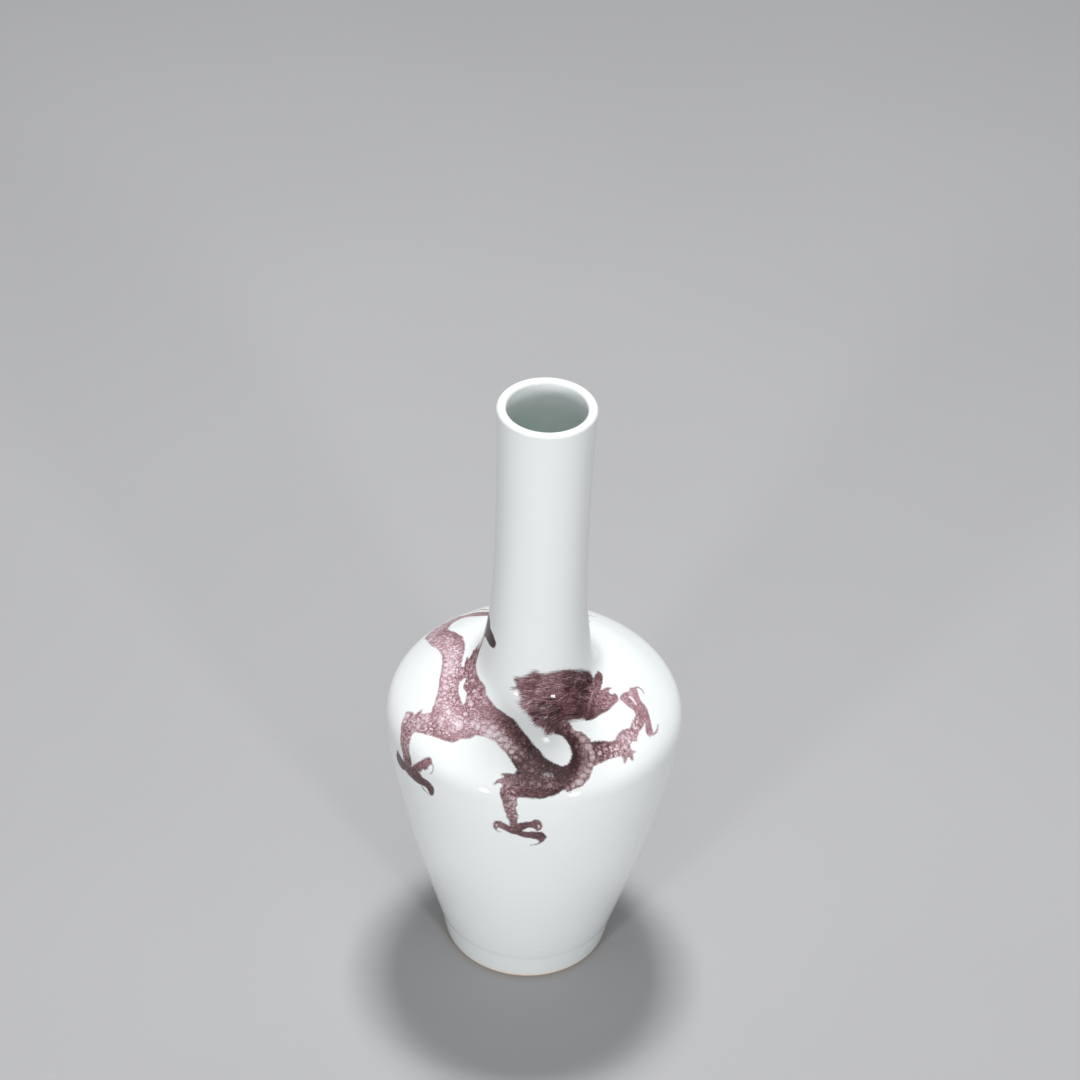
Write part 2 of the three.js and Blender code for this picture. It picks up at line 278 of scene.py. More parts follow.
        (51.7, 98.7), (52.5, 98.2), (54.8, 99.2), (57.5, 99.9), (60.5, 99.9), (63.5, 100.5), (65.5, 101.5),
        (67.8, 103.4)
    ],
    "toe_c": [
        (-52.6, 134.4), (-52.8, 135.6), (-56.7, 136.5), (-62, 137.4), (-67.9, 137.7), (-71.8, 138.4), (-74, 139.6),
        (-78.3, 140.2), (-85, 140.7), (-90, 139.6), (-95, 138), (-100, 135.8), (-105, 133.2), (-108, 130),
        (-107, 127), (-103, 125.2), (-99, 124.6), (-94, 125.2), (-91, 128), (-88.8, 130.9), (-87.6, 132),
        (-83.7, 131.8), (-73.7, 132.5), (-65, 132.5), (-58.8, 132.6), (-54.8, 133.2)
    ],
    "tail_r": [
        (-119, 103.5), (-127.2, 103.1), (-131, 101.9), (-134.4, 101.4), (-137.9, 101.8), (-140.1, 102.8),
        (-141.7, 104.4), (-143.2, 106.1), (-145.1, 107.5), (-147.2, 109), (-152, 110.8), (-160, 112.2),
        (-172, 113.0), (-184, 112.8), (-196, 111.4), (-200, 109.4), (-190, 109.6), (-178, 109.8), (-166, 109.2),
        (-156, 107.6), (-150.5, 105.3), (-148.6, 103.3), (-146.5, 101.5), (-144.2, 100.2), (-142.4, 99.3),
        (-141.6, 97.6), (-140.9, 96.6), (-138.4, 96.5), (-135.1, 96.2), (-133.2, 95.5), (-130.8, 95.2),
        (-128.3, 94.9), (-125.5, 95), (-119, 97)
    ],
}
STROKE = {
    "bellyedge": [
        (-61.1, 103.2), (-66.8, 105.8), (-73.2, 107.8), (-78.5, 109.1), (-84.4, 110.0), (-91.3, 110.2),
        (-98.7, 109.4), (-104.3, 107.5), (-109.4, 104.7), (-115.0, 100.3)
    ],
    "spine": [
        (-202, 110.0), (-190, 111.0), (-175, 111.2), (-160, 110.0), (-151, 107.8), (-146.5, 105.2), (-143, 102.0),
        (-139, 99.6), (-134.5, 98.8), (-129.5, 98.8), (-124, 101.0), (-115.7, 109.6), (-103.1, 112.5),
        (-90.2, 113.6), (-78.6, 113.0), (-68.5, 111.4), (-59.7, 109.6), (-50.0, 108.8), (-40.6, 109.8),
        (-31.8, 111.2), (-23.0, 110.8), (-15.2, 108.8), (-9.0, 106.2), (-4.1, 103.1), (-0.4, 99.6), (4.0, 96.7),
        (9.0, 95.9), (14.4, 95.8), (19.6, 97.1), (23.3, 99.3), (25.2, 102.1), (25.0, 105.4), (22.9, 108.4),
        (19.1, 111.3), (15.3, 114.1)
    ],
    "back": [
        (-51.4, 111.4), (-45.9, 115.4), (-42.7, 117.7), (-37.6, 117.2), (-32.6, 116.5), (-24.5, 116.0),
        (-18.1, 115.0), (-13.7, 114.4), (-10.3, 113.1), (-6.1, 111.0), (-2.4, 108.9), (0.3, 107.0), (3.6, 105.1),
        (6.1, 102.9), (8.5, 101.7), (11.2, 100.6), (13.9, 99.8), (16.5, 100.4), (18.6, 102.1), (19.4, 104.4),
        (18.4, 107.3), (16.2, 109.3), (12.5, 110.2), (9.8, 112.0)
    ],
    "belly": [
        (-38.4, 103.5), (-31.3, 105.6), (-27.5, 106.0), (-23.5, 106.1), (-20.1, 105.7), (-16.8, 104.5),
        (-14.0, 103.5), (-10.7, 101.7), (-8.1, 99.7), (-5.8, 97.2), (-4.5, 94.0), (-2.3, 91.7), (0.9, 90.6),
        (3.2, 90.4), (7.3, 90.9), (10.9, 91.8), (14.8, 91.9), (17.1, 92.5), (19.7, 92.7), (22.2, 93.6),
        (24.7, 95.1), (26.7, 96.9), (29.0, 98.9), (30.6, 101.3), (31.1, 103.7), (31.3, 105.5), (30.5, 107.3),
        (28.6, 109.0), (25.5, 110.0), (22.9, 112.8)
    ],
    "sp_leg_b": [
        (-86.4, 130.7), (-95.9, 124.3), (-89.8, 121.0), (-77.7, 119.5), (-63.1, 118.1), (-50.4, 116.0),
        (-38.2, 112.7)
    ],
    "sp_thigh": [
        (-36.9, 109.0), (-45.7, 105.4), (-52.7, 101.8), (-58.9, 98.8), (-65.5, 96.0), (-63.8, 92.8), (-60.3, 90.2),
        (-56.8, 87.7), (-54.7, 84.3)
    ],
    "sp_fleg": [(-4.3, 98.2), (-8.5, 93.9), (-8.5, 90.3), (-7.3, 86.0), (-6.0, 79.6)],
    "sp_arm": [
        (27.8, 102.0), (33.3, 101.4), (39.4, 100.5), (45.3, 100.3), (51.2, 100.6), (58.2, 101.8), (64.5, 103.4)
    ],
    "sp_hand": [(64.5, 103.4), (64.5, 100.2), (61.0, 97.5)],
    "sp_hand2": [(64.7, 102.8), (68.4, 105.5), (72.0, 108.2), (77.6, 108.7)],
    "sp_head": [(42.9, 116.6), (53.3, 114.7), (62.3, 112.0)],
    "sp_ear": [(60.6, 118.6), (76.0, 119.9)],
    "c_hclaw2": [(-43.4, 91.4), (-42.1, 91.0), (-41.5, 90.2), (-41.5, 89.2), (-42.2, 88.2)],
    "c_ffoot1": [(-12.9, 76.9), (-12.4, 76.3), (-11.7, 75.9), (-10.8, 75.9)],
    "c_ffoot3": [(4.8, 72.8), (3.9, 71.9), (3.0, 71.5), (2.0, 71.1), (0.8, 70.9)],
    "c_hand2": [(79.7, 108.3), (81.2, 107.7), (82.1, 106.9), (81.9, 106.1), (81.1, 105.4), (79.5, 104.8)],
    "c_hand3": [(61.2, 96.7), (62.8, 96.1), (65.3, 95.9), (66.9, 96.2), (68.4, 96.6)],
    "slit_hand": [(71.3, 108.7), (71.0, 107.9), (70.5, 106.9), (69.5, 105.8)],
    "slit_ffoot": [(-2.2, 78.0), (-0.3, 78.3), (1.8, 78.3)],
    "curl_ffoot2": [(2.7, 78.8), (3.6, 79.2), (3.7, 80.4), (2.8, 80.9)],
    "slit_hfoot3": [(-44.3, 81.6), (-42.7, 81.3)],
    "swirl": [(4.8, 95.2), (6.4, 95.7), (8.5, 95.4), (9.6, 94.3), (8.9, 93.3), (7.1, 93.0), (5.7, 93.7)],
    "c_hfoot3": [(-46.1, 81.0), (-44.1, 80.4), (-41.9, 79.9)],
    "slit_hand2": [(71.8, 108.4), (71.7, 107.6), (71.0, 106.9)],
    "hair1": [(60.2, 121.7), (46.7, 125.7), (25.4, 128.0), (4.3, 128.2), (-12.0, 127.8), (-24.9, 127.4)],
    "hair2": [(54.2, 119.4), (41.5, 122.7), (20.4, 124.6), (0.6, 124.8), (-15.0, 124.3), (-26.9, 123.4)],
    "hair3": [(46.5, 117.4), (33.8, 119.9), (15.5, 121.1), (1.0, 121.1), (-12.8, 119.9)],
    "hair4": [(40.1, 115.7), (27.2, 117.4), (14.1, 117.8), (2.9, 116.5), (-4.4, 115.6)],
    "hair5": [(33.5, 114.3), (23.6, 115.4), (14.2, 114.8), (8.0, 112.7), (5.8, 110.7)],
    "tail_ridge": [
        (-143.8, 96.0), (-145.3, 96.8), (-147.2, 98.0), (-149.2, 99.0), (-150.9, 100.6), (-152.3, 103.0),
        (-157, 106.0), (-164, 108.3), (-172, 109.8)
    ],
    "tail_tuft1": [(-196, 110.6), (-204, 108.0), (-211, 104.0)],
    "tail_tuft2": [(-198, 110.8), (-207, 111.6), (-214, 109.8)],
    "shin_b": [(-100.0, 125.2), (-103, 127.5), (-106, 130)],
    "toe_h1": [(-97, 135.6), (-110, 139.4), (-122, 143), (-134, 145), (-143, 144.4)],
    "toe_h2": [(-103, 130.6), (-118, 133), (-132, 133.2), (-144, 130.8)],
    "claw_h1": [(-143, 144.4), (-151, 142.4), (-155, 138.6)],
    "claw_h2": [(-144, 130.8), (-151, 128), (-153, 124.2)],
}

# light lines left between the hairs and in the folds of the face
HAIRS = [
    [(11.6, 121.0), (5.5, 121.5), (-0.8, 121.3), (-5.4, 120.8)],
    [(13.0, 122.2), (7.4, 122.4), (2.7, 123.1), (-0.6, 123.5)],
    [(17.7, 126.9), (10.5, 126.9), (4.4, 126.3), (0.0, 125.9)],
    [(17.8, 127.8), (11.5, 128.4), (5.8, 129.1)],
    [(15.5, 125.5), (9.4, 125.3), (2.6, 125.0)],
    [(14.9, 119.7), (10.0, 119.0), (5.7, 118.0)],
    [(3.2, 116.7), (-0.9, 116.2), (-4.0, 115.5)],
    [(-3.3, 120.5), (-9.1, 119.6), (-13.5, 119.0)],
    [(42.4, 124.5), (39.4, 123.1), (34.8, 122.8)],
    [(57.6, 119.8), (48.8, 120.7), (42.8, 120.4), (42.3, 119.6)],
    [(22.4, 124.2), (23.2, 122.9), (20.1, 122.1)],
    [(27.3, 129.1), (21.1, 128.8), (14.7, 128.8)],
    [(8.3, 130.4), (2.1, 129.9), (-5.0, 129.1)],
    [(9.4, 124.3), (2.6, 124.1), (-4.1, 124.1), (-10.9, 124.1)],
    [(-2.8, 127.8), (-9.8, 127.0), (-17.9, 126.4)],
    [(1.2, 119.7), (-3.8, 119.0), (-8.4, 118.0)],
    [(21.1, 118.3), (15.0, 117.9), (10.2, 116.9)],
    [(16.7, 116.7), (11.6, 115.5), (7.9, 113.9)],
    [(31.1, 124.6), (24.8, 125.5), (19.1, 125.6)],
    [(30.5, 121.8), (25.1, 121.2), (21.8, 120.7)],
    [(39.2, 126.7), (30.8, 126.9), (24.2, 127.7)],
    [(55.9, 123.0), (49.9, 123.1), (46.2, 122.3)],
    [(4.3, 115.3), (0.7, 114.5)],
    [(-6.5, 122.3), (-11.2, 122.3), (-15.8, 121.9)],
    [(-8.3, 125.4), (-14.3, 125.3), (-20.7, 124.5)],
    [(58.4, 118.4), (53.3, 118.1), (48.7, 116.8), (47.1, 115.2)],
    [(55.9, 116.5), (51.8, 116.0), (50.8, 114.6), (52.2, 113.4)],
    [(59.3, 116.3), (55.4, 115.8), (54.8, 114.4), (56.4, 113.3)],
    [(62.6, 115.8), (59.3, 115.1), (59.0, 113.7), (61.1, 112.8)],
    [(55.3, 112.7), (58.8, 112.3), (62.2, 111.8)],
    [(48.4, 113.3), (51.8, 112.6), (55.5, 112.2)],
    [(61.1, 119.6), (63.6, 120.9), (68.6, 121.4)],
    [(64.9, 114.3), (66.3, 115.3)],
    [(3.4, 110.7), (6.6, 112.1), (10.5, 112.3)],
]

# where the pigment lies thick or thin: (angle, s, tone 0 pale .. 1 darkest, strength of the light scale spots)
TONES = [
    (-120.5, 98.6, 0.36, 0.20), (-123.1, 98.4, 0.32, 0.30), (-127.5, 99.0, 0.38, 0.20), (-125.9, 98.1, 0.33, 0.30),
    (-122.8, 103.2, 0.49, 0.30), (-125.7, 104.4, 0.53, 0.30), (-122.5, 108.4, 0.53, 0.40),
    (-119.1, 112.0, 0.48, 0.40), (-113.2, 114.3, 0.44, 0.40), (-118.6, 106.7, 0.38, 0.40),
    (-117.9, 104.1, 0.22, 0.30), (-117.8, 101.3, 0.25, 0.30), (-114.3, 103.9, 0.31, 0.40),
    (-110.8, 107.3, 0.22, 0.40), (-112.6, 109.7, 0.22, 0.50), (-112.8, 111.8, 0.38, 0.50),
    (-105.0, 114.7, 0.41, 0.50), (-105.2, 112.6, 0.19, 0.50), (-105.5, 110.2, 0.21, 0.30),
    (-101.9, 109.4, 0.33, 0.20), (-98.9, 112.8, 0.06, 0.40), (-97.0, 114.9, 0.32, 0.50), (-95.0, 116.2, 0.44, 0.30),
    (-94.0, 110.4, 0.38, 0.10), (-93.2, 111.9, 0.08, 0.30), (-91.3, 113.6, 0.06, 0.50), (-87.6, 115.6, 0.34, 0.50),
    (-86.6, 110.4, 0.38, 0.10), (-83.7, 111.7, 0.08, 0.30), (-83.3, 113.3, 0.08, 0.50), (-79.8, 114.7, 0.34, 0.60),
    (-75.0, 115.9, 0.46, 0.50), (-78.4, 109.5, 0.43, 0.10), (-76.8, 111.0, 0.10, 0.30), (-74.3, 112.3, 0.28, 0.40),
    (-72.5, 113.8, 0.42, 0.50), (-72.4, 108.5, 0.42, 0.10), (-70.3, 110.1, 0.13, 0.30), (-67.6, 111.4, 0.33, 0.40),
    (-64.8, 112.5, 0.43, 0.50), (-66.9, 106.8, 0.38, 0.10), (-65.0, 108.1, 0.22, 0.40), (-61.8, 109.4, 0.28, 0.60),
    (-59.3, 110.9, 0.40, 0.50), (-54.6, 111.7, 0.44, 0.30), (-62.9, 105.0, 0.37, 0.10), (-61.4, 106.4, 0.11, 0.50),
    (-57.3, 107.7, 0.17, 0.60), (-54.2, 109.3, 0.40, 0.50), (-60.8, 103.8, 0.38, 0.10), (-59.2, 103.0, 0.43, 0.10),
    (-56.2, 104.6, 0.41, 0.10), (-54.0, 106.5, 0.05, 0.50), (-52.5, 108.7, 0.41, 0.50), (-50.7, 106.7, 0.12, 0.50),
    (-49.0, 108.8, 0.40, 0.50), (-47.2, 110.9, 0.46, 0.40), (-45.3, 112.6, 0.40, 0.40), (-39.9, 112.6, 0.41, 0.30),
    (-44.6, 108.0, 0.22, 0.50), (-47.4, 106.4, 0.05, 0.40), (-43.0, 105.7, 0.04, 0.50), (-44.6, 103.9, 0.10, 0.50),
    (-47.7, 104.2, 0.42, 0.10), (-51.4, 104.6, 0.16, 0.50), (-52.5, 103.0, 0.14, 0.50), (-55.3, 102.2, 0.28, 0.50),
    (-59.1, 100.5, 0.23, 0.60), (-61.4, 98.6, 0.27, 0.60), (-65.7, 97.7, 0.36, 0.30), (-66.3, 95.9, 0.41, 0.30),
    (-69.3, 95.6, 0.21, 0.20), (-59.7, 96.6, 0.36, 0.50), (-56.9, 98.7, 0.33, 0.50), (-53.2, 100.3, 0.31, 0.60),
    (-49.4, 101.3, 0.32, 0.60), (-45.7, 101.8, 0.30, 0.60), (-48.0, 100.0, 0.46, 0.40), (-52.0, 99.3, 0.43, 0.50),
    (-55.1, 97.8, 0.45, 0.40), (-44.2, 99.8, 0.44, 0.20), (-41.3, 101.1, 0.41, 0.10), (-38.9, 103.3, 0.41, 0.10),
    (-35.8, 105.1, 0.39, 0.10), (-33.9, 106.8, 0.34, 0.10), (-38.8, 106.8, 0.29, 0.40), (-37.9, 108.6, 0.18, 0.40),
    (-34.1, 109.0, 0.11, 0.30), (-41.1, 109.6, 0.39, 0.40), (-37.5, 110.8, 0.37, 0.40), (-38.9, 104.8, 0.41, 0.10),
    (-62.5, 95.3, 0.41, 0.50), (-65.4, 95.1, 0.39, 0.40), (-64.8, 92.5, 0.47, 0.30), (-62.0, 92.7, 0.46, 0.40),
    (-62.4, 90.5, 0.44, 0.30), (-59.5, 91.0, 0.37, 0.40), (-60.2, 88.3, 0.42, 0.30), (-57.6, 88.8, 0.42, 0.40),
    (-57.7, 86.0, 0.59, 0.30), (-55.5, 86.2, 0.64, 0.30), (-53.9, 85.6, 0.70, 0.20), (-88.0, 130.3, 0.93, 0.00),
    (-94.0, 126.6, 0.90, 0.05), (-98.0, 123.2, 0.85, 0.10), (-85.9, 125.8, 0.82, 0.10), (-92.9, 121.4, 0.70, 0.20),
    (-84.0, 123.9, 0.72, 0.20), (-89.0, 119.7, 0.64, 0.30), (-82.3, 121.7, 0.58, 0.40), (-89.0, 118.3, 0.63, 0.20),
    (-81.4, 118.4, 0.55, 0.50), (-77.9, 119.9, 0.51, 0.60), (-73.2, 121.1, 0.56, 0.20), (-77.4, 117.3, 0.55, 0.40),
    (-72.9, 118.3, 0.48, 0.60), (-68.1, 119.6, 0.51, 0.50), (-62.8, 120.4, 0.56, 0.10), (-65.6, 116.5, 0.55, 0.40),
    (-62.6, 117.8, 0.51, 0.40), (-57.4, 119.0, 0.50, 0.30), (-51.9, 119.7, 0.47, 0.10), (-60.0, 115.7, 0.51, 0.50),
    (-55.7, 116.9, 0.49, 0.50), (-51.6, 118.2, 0.47, 0.40), (-46.8, 118.7, 0.48, 0.10), (-53.3, 114.3, 0.47, 0.50),
    (-50.0, 115.6, 0.45, 0.50), (-46.8, 117.0, 0.36, 0.50), (-42.2, 117.5, 0.36, 0.10), (-48.2, 112.9, 0.35, 0.40),
    (-44.9, 114.6, 0.42, 0.20), (-40.6, 115.8, 0.34, 0.50), (-35.2, 116.5, 0.46, 0.10), (-39.2, 113.7, 0.42, 0.20),
    (-34.9, 114.8, 0.49, 0.15), (-29.9, 115.5, 0.60, 0.10), (-34.1, 112.2, 0.40, 0.20), (-30.6, 113.1, 0.47, 0.20),
    (-26.5, 113.5, 0.59, 0.20), (-22.7, 114.2, 0.70, 0.15), (-30.9, 111.0, 0.23, 0.40), (-27.1, 111.5, 0.30, 0.50),
    (-23.6, 112.2, 0.50, 0.30), (-19.3, 112.9, 0.74, 0.15), (-15.5, 113.4, 0.81, 0.10), (-24.1, 109.9, 0.13, 0.40),
    (-20.4, 110.2, 0.36, 0.40), (-17.0, 110.7, 0.69, 0.20), (-13.0, 111.5, 0.81, 0.12), (-9.0, 111.2, 0.85, 0.10),
    (-20.3, 108.4, 0.14, 0.40), (-16.9, 108.6, 0.33, 0.40), (-13.7, 109.4, 0.71, 0.20), (-9.6, 109.5, 0.83, 0.12),
    (-6.0, 109.4, 0.86, 0.08), (-15.3, 106.8, 0.23, 0.40), (-12.6, 107.2, 0.40, 0.40), (-9.4, 107.5, 0.74, 0.20),
    (-5.5, 107.5, 0.87, 0.12), (-1.7, 107.3, 0.91, 0.08), (-10.7, 105.1, 0.40, 0.40), (-8.1, 105.0, 0.63, 0.30),
    (-5.0, 105.2, 0.79, 0.20), (-1.4, 105.1, 0.89, 0.12), (2.2, 104.6, 0.93, 0.08), (-7.6, 103.2, 0.57, 0.40),
    (-5.1, 103.0, 0.71, 0.30), (-2.1, 102.9, 0.86, 0.20), (1.7, 102.7, 0.92, 0.12), (5.1, 102.1, 0.97, 0.08),
    (-7.5, 101.0, 0.90, 0.15), (-5.1, 100.9, 0.86, 0.20), (-2.4, 100.7, 0.77, 0.30), (0.9, 100.5, 0.85, 0.20),
    (4.5, 100.0, 0.91, 0.12), (8.1, 99.9, 0.97, 0.08), (11.6, 99.1, 0.97, 0.08), (-7.5, 98.9, 0.89, 0.15),
    (-4.3, 98.8, 0.85, 0.20), (-0.8, 98.7, 0.76, 0.30), (2.7, 98.4, 0.86, 0.15), (6.2, 98.1, 0.89, 0.15),
    (9.6, 97.7, 0.95, 0.10), (13.2, 98.1, 0.97, 0.08), (-5.8, 96.9, 0.80, 0.20), (-2.7, 96.5, 0.79, 0.20),
    (0.6, 96.3, 0.80, 0.20), (4.0, 96.1, 0.77, 0.20), (7.3, 95.7, 0.79, 0.25), (10.6, 95.5, 0.90, 0.15),
    (14.0, 95.9, 0.93, 0.10), (17.3, 97.0, 0.93, 0.10), (-6.2, 94.4, 0.68, 0.30), (-3.3, 94.4, 0.68, 0.35),
    (-0.1, 94.2, 0.72, 0.35), (3.1, 94.3, 0.70, 0.35), (6.4, 93.9, 0.73, 0.35), (9.6, 93.8, 0.82, 0.20),
    (12.4, 93.9, 0.87, 0.15), (-4.3, 92.2, 0.79, 0.15), (-1.1, 91.8, 0.78, 0.15), (2.0, 91.6, 0.80, 0.12),
    (5.1, 91.6, 0.85, 0.10), (8.2, 92.1, 0.86, 0.12), (11.5, 92.8, 0.88, 0.12), (13.9, 93.2, 0.71, 0.20),
    (17.2, 99.5, 0.97, 0.08), (20.1, 99.8, 0.97, 0.08), (20.2, 102.3, 1.00, 0.08), (22.4, 101.6, 0.90, 0.12),
    (20.8, 104.7, 0.99, 0.08), (23.1, 104.1, 0.92, 0.12), (20.3, 107.1, 0.99, 0.10), (23.4, 106.3, 0.91, 0.20),
    (18.6, 109.3, 0.90, 0.12), (21.8, 108.6, 0.86, 0.20), (16.7, 111.5, 0.81, 0.10), (20.1, 110.9, 0.81, 0.20),
    (15.3, 114.1, 0.85, 0.05), (19.5, 113.0, 0.72, 0.20), (24.9, 101.5, 0.60, 0.20), (25.8, 104.0, 0.62, 0.20),
    (24.9, 99.6, 0.60, 0.20), (28.8, 102.8, 0.41, 0.10), (28.3, 100.3, 0.41, 0.10), (25.8, 98.5, 0.41, 0.10),
    (29.3, 105.7, 0.48, 0.10), (27.4, 104.7, 0.52, 0.10), (24.1, 97.0, 0.44, 0.10), (27.3, 107.8, 0.54, 0.10),
    (25.0, 109.5, 0.49, 0.10), (23.2, 111.5, 0.54, 0.20), (23.7, 97.0, 0.58, 0.10), (20.9, 95.6, 0.49, 0.10),
    (17.9, 94.2, 0.54, 0.10), (15.2, 93.4, 0.60, 0.10), (-11.3, 96.6, 0.62, 0.10), (-8.2, 96.4, 0.68, 0.10),
    (-13.9, 93.8, 0.49, 0.10), (-11.5, 94.2, 0.49, 0.20), (-9.0, 94.2, 0.50, 0.40), (-6.7, 95.3, 0.62, 0.30),
    (-10.5, 91.9, 0.55, 0.40), (-8.2, 92.2, 0.55, 0.50), (-6.2, 91.8, 0.56, 0.40), (-9.3, 89.2, 0.56, 0.40),
    (-7.1, 89.5, 0.54, 0.50), (-8.3, 86.6, 0.52, 0.40), (-6.1, 86.9, 0.48, 0.50), (-7.1, 84.2, 0.48, 0.50),
    (-5.2, 83.6, 0.56, 0.30), (-6.2, 80.9, 0.60, 0.20), (-12.7, 79.2, 0.56, 0.10), (-10.7, 79.7, 0.65, 0.10),
    (-8.8, 78.7, 0.69, 0.05), (-6.5, 78.1, 0.70, 0.05), (-4.3, 79.8, 0.74, 0.05), (-1.7, 80.5, 0.77, 0.05),
    (0.9, 81.1, 0.74, 0.05), (2.7, 82.0, 0.68, 0.05), (4.0, 79.3, 0.67, 0.05), (-3.8, 76.6, 0.79, 0.05),
    (-1.2, 76.1, 0.79, 0.05), (1.8, 76.0, 0.77, 0.10), (4.5, 75.5, 0.85, 0.10), (4.2, 73.5, 0.72, 0.05),
    (32.1, 104.1, 0.80, 0.20), (29.4, 102.0, 0.70, 0.30), (27.9, 99.7, 0.72, 0.30), (34.9, 103.9, 0.73, 0.10),
    (33.6, 102.4, 0.63, 0.50), (32.0, 100.4, 0.62, 0.50), (30.4, 98.8, 0.67, 0.30), (38.2, 102.9, 0.66, 0.20),
    (36.6, 101.3, 0.55, 0.60), (35.0, 99.4, 0.55, 0.60), (41.8, 102.2, 0.54, 0.20), (40.1, 100.6, 0.43, 0.60),
    (38.3, 98.7, 0.46, 0.60), (46.2, 102.5, 0.45, 0.20), (44.7, 100.9, 0.31, 0.60), (42.7, 99.1, 0.32, 0.60),
    (51.1, 102.9, 0.42, 0.20), (49.1, 101.1, 0.29, 0.50), (47.3, 99.2, 0.24, 0.50), (44.5, 97.4, 0.41, 0.20),
    (45.2, 95.7, 0.45, 0.10), (48.0, 97.1, 0.38, 0.10), (54.0, 101.3, 0.26, 0.60), (52.7, 99.6, 0.30, 0.40),
    (58.2, 102.7, 0.35, 0.50), (59.2, 100.9, 0.36, 0.40), (62.4, 103.6, 0.42, 0.40), (64.1, 102.2, 0.45, 0.30),
    (66.4, 104.2, 0.48, 0.10), (70.8, 109.0, 0.43, 0.20), (67.9, 110.2, 0.42, 0.20), (65.8, 108.6, 0.43, 0.10),
    (66.6, 106.5, 0.45, 0.05), (76.4, 108.9, 0.39, 0.10), (75.8, 107.4, 0.43, 0.05), (73.0, 105.8, 0.45, 0.05),
    (71.0, 103.9, 0.48, 0.03), (69.0, 102.2, 0.47, 0.03), (65.9, 100.8, 0.49, 0.03), (63.6, 99.0, 0.51, 0.05),
    (61.1, 97.4, 0.45, 0.30), (50.1, 116.5, 0.71, 0.35), (49.6, 114.5, 0.67, 0.35), (55.9, 114.7, 0.61, 0.35),
    (62.6, 115.1, 0.53, 0.35), (67.5, 115.0, 0.49, 0.10), (62.7, 112.9, 0.51, 0.35), (64.0, 111.7, 0.49, 0.35),
    (57.0, 112.3, 0.55, 0.35), (51.2, 112.2, 0.62, 0.35), (45.0, 112.0, 0.71, 0.10), (40.1, 112.1, 0.78, 0.10),
    (43.4, 114.9, 0.82, 0.05), (53.9, 118.3, 0.73, 0.10), (59.1, 116.9, 0.59, 0.35), (64.6, 118.7, 0.67, 0.05),
    (74.1, 119.6, 0.67, 0.05), (66.8, 120.1, 0.70, 0.05), (-16.0, 127.1, 0.81, 0.00), (-10.1, 128.6, 0.85, 0.00),
    (-0.9, 129.2, 0.80, 0.00), (9.4, 129.2, 0.72, 0.00), (20.1, 129.1, 0.78, 0.00), (31.4, 128.8, 0.86, 0.00),
    (43.4, 127.3, 0.91, 0.00), (56.6, 124.7, 0.97, 0.00), (60.8, 122.0, 1.00, 0.00), (51.8, 122.4, 0.98, 0.00),
    (41.9, 124.7, 0.91, 0.00), (31.7, 126.0, 0.88, 0.00), (20.8, 126.6, 0.76, 0.00), (10.5, 127.1, 0.68, 0.00),
    (0.4, 126.9, 0.75, 0.00), (-9.4, 125.9, 0.83, 0.00), (-18.0, 124.3, 0.75, 0.00), (-12.5, 123.1, 0.76, 0.00),
    (-5.0, 123.7, 0.75, 0.00), (4.6, 123.9, 0.69, 0.00), (14.2, 123.7, 0.70, 0.00), (24.1, 123.4, 0.77, 0.00),
    (34.2, 122.4, 0.86, 0.00), (44.6, 121.2, 0.94, 0.00), (50.9, 119.7, 0.89, 0.00), (-10.6, 121.0, 0.66, 0.00),
    (-3.5, 121.3, 0.72, 0.00), (4.6, 121.4, 0.75, 0.00), (13.6, 120.9, 0.89, 0.00), (22.6, 120.4, 0.83, 0.00),
    (31.7, 119.8, 0.83, 0.00), (40.3, 118.6, 0.94, 0.00), (45.2, 117.3, 0.89, 0.00), (-7.2, 119.0, 0.65, 0.00),
    (-0.4, 118.9, 0.82, 0.00), (7.0, 118.7, 0.95, 0.00), (15.0, 118.1, 0.94, 0.00), (23.3, 117.8, 0.84, 0.00),
    (31.4, 117.2, 0.90, 0.00), (37.5, 115.8, 1.00, 0.00), (-1.7, 116.7, 0.77, 0.00), (4.4, 116.5, 0.93, 0.00),
    (11.0, 116.0, 0.93, 0.00), (17.8, 115.9, 0.89, 0.00), (24.6, 115.6, 0.91, 0.00), (31.9, 115.0, 1.00, 0.00),
    (36.8, 113.7, 0.92, 0.00), (2.8, 114.1, 0.78, 0.00), (7.5, 113.4, 0.84, 0.00), (12.8, 113.2, 0.82, 0.00),
    (8.3, 111.3, 0.81, 0.00), (18.2, 114.2, 0.85, 0.00), (25.5, 114.1, 0.94, 0.00), (-62.4, 83.7, 0.87, 0.00),
    (-61.0, 81.7, 0.90, 0.00), (-58.5, 81.3, 0.88, 0.00), (-54.7, 82.2, 0.83, 0.00), (-51.3, 82.3, 0.87, 0.00),
    (-47.5, 82.9, 0.86, 0.00), (-44.7, 83.8, 0.82, 0.00), (-42.4, 83.0, 0.83, 0.00), (-40.9, 81.7, 0.85, 0.00),
    (-44.7, 81.7, 0.91, 0.00), (-51.5, 85.4, 0.70, 0.10), (-49.0, 87.6, 0.60, 0.20), (-47.0, 89.8, 0.56, 0.10),
    (-45.4, 91.6, 0.54, 0.10), (-47.1, 87.5, 0.64, 0.05), (-64.9, 134.2, 0.99, 0.00), (-75.0, 137.8, 0.97, 0.00),
    (-130.4, 101.9, 0.48, 0.20), (-136.6, 100.3, 0.42, 0.10), (-139.6, 101.0, 0.42, 0.10),
    (-143.1, 102.3, 0.48, 0.10), (-145.8, 104.7, 0.52, 0.10), (-148.3, 106.8, 0.50, 0.10),
    (-152.0, 109.0, 0.50, 0.10), (-160.0, 110.8, 0.50, 0.10), (-172.0, 111.6, 0.55, 0.10),
    (-185.0, 111.8, 0.60, 0.00), (-198.0, 110.6, 0.66, 0.00), (-110.0, 133.0, 0.95, 0.00),
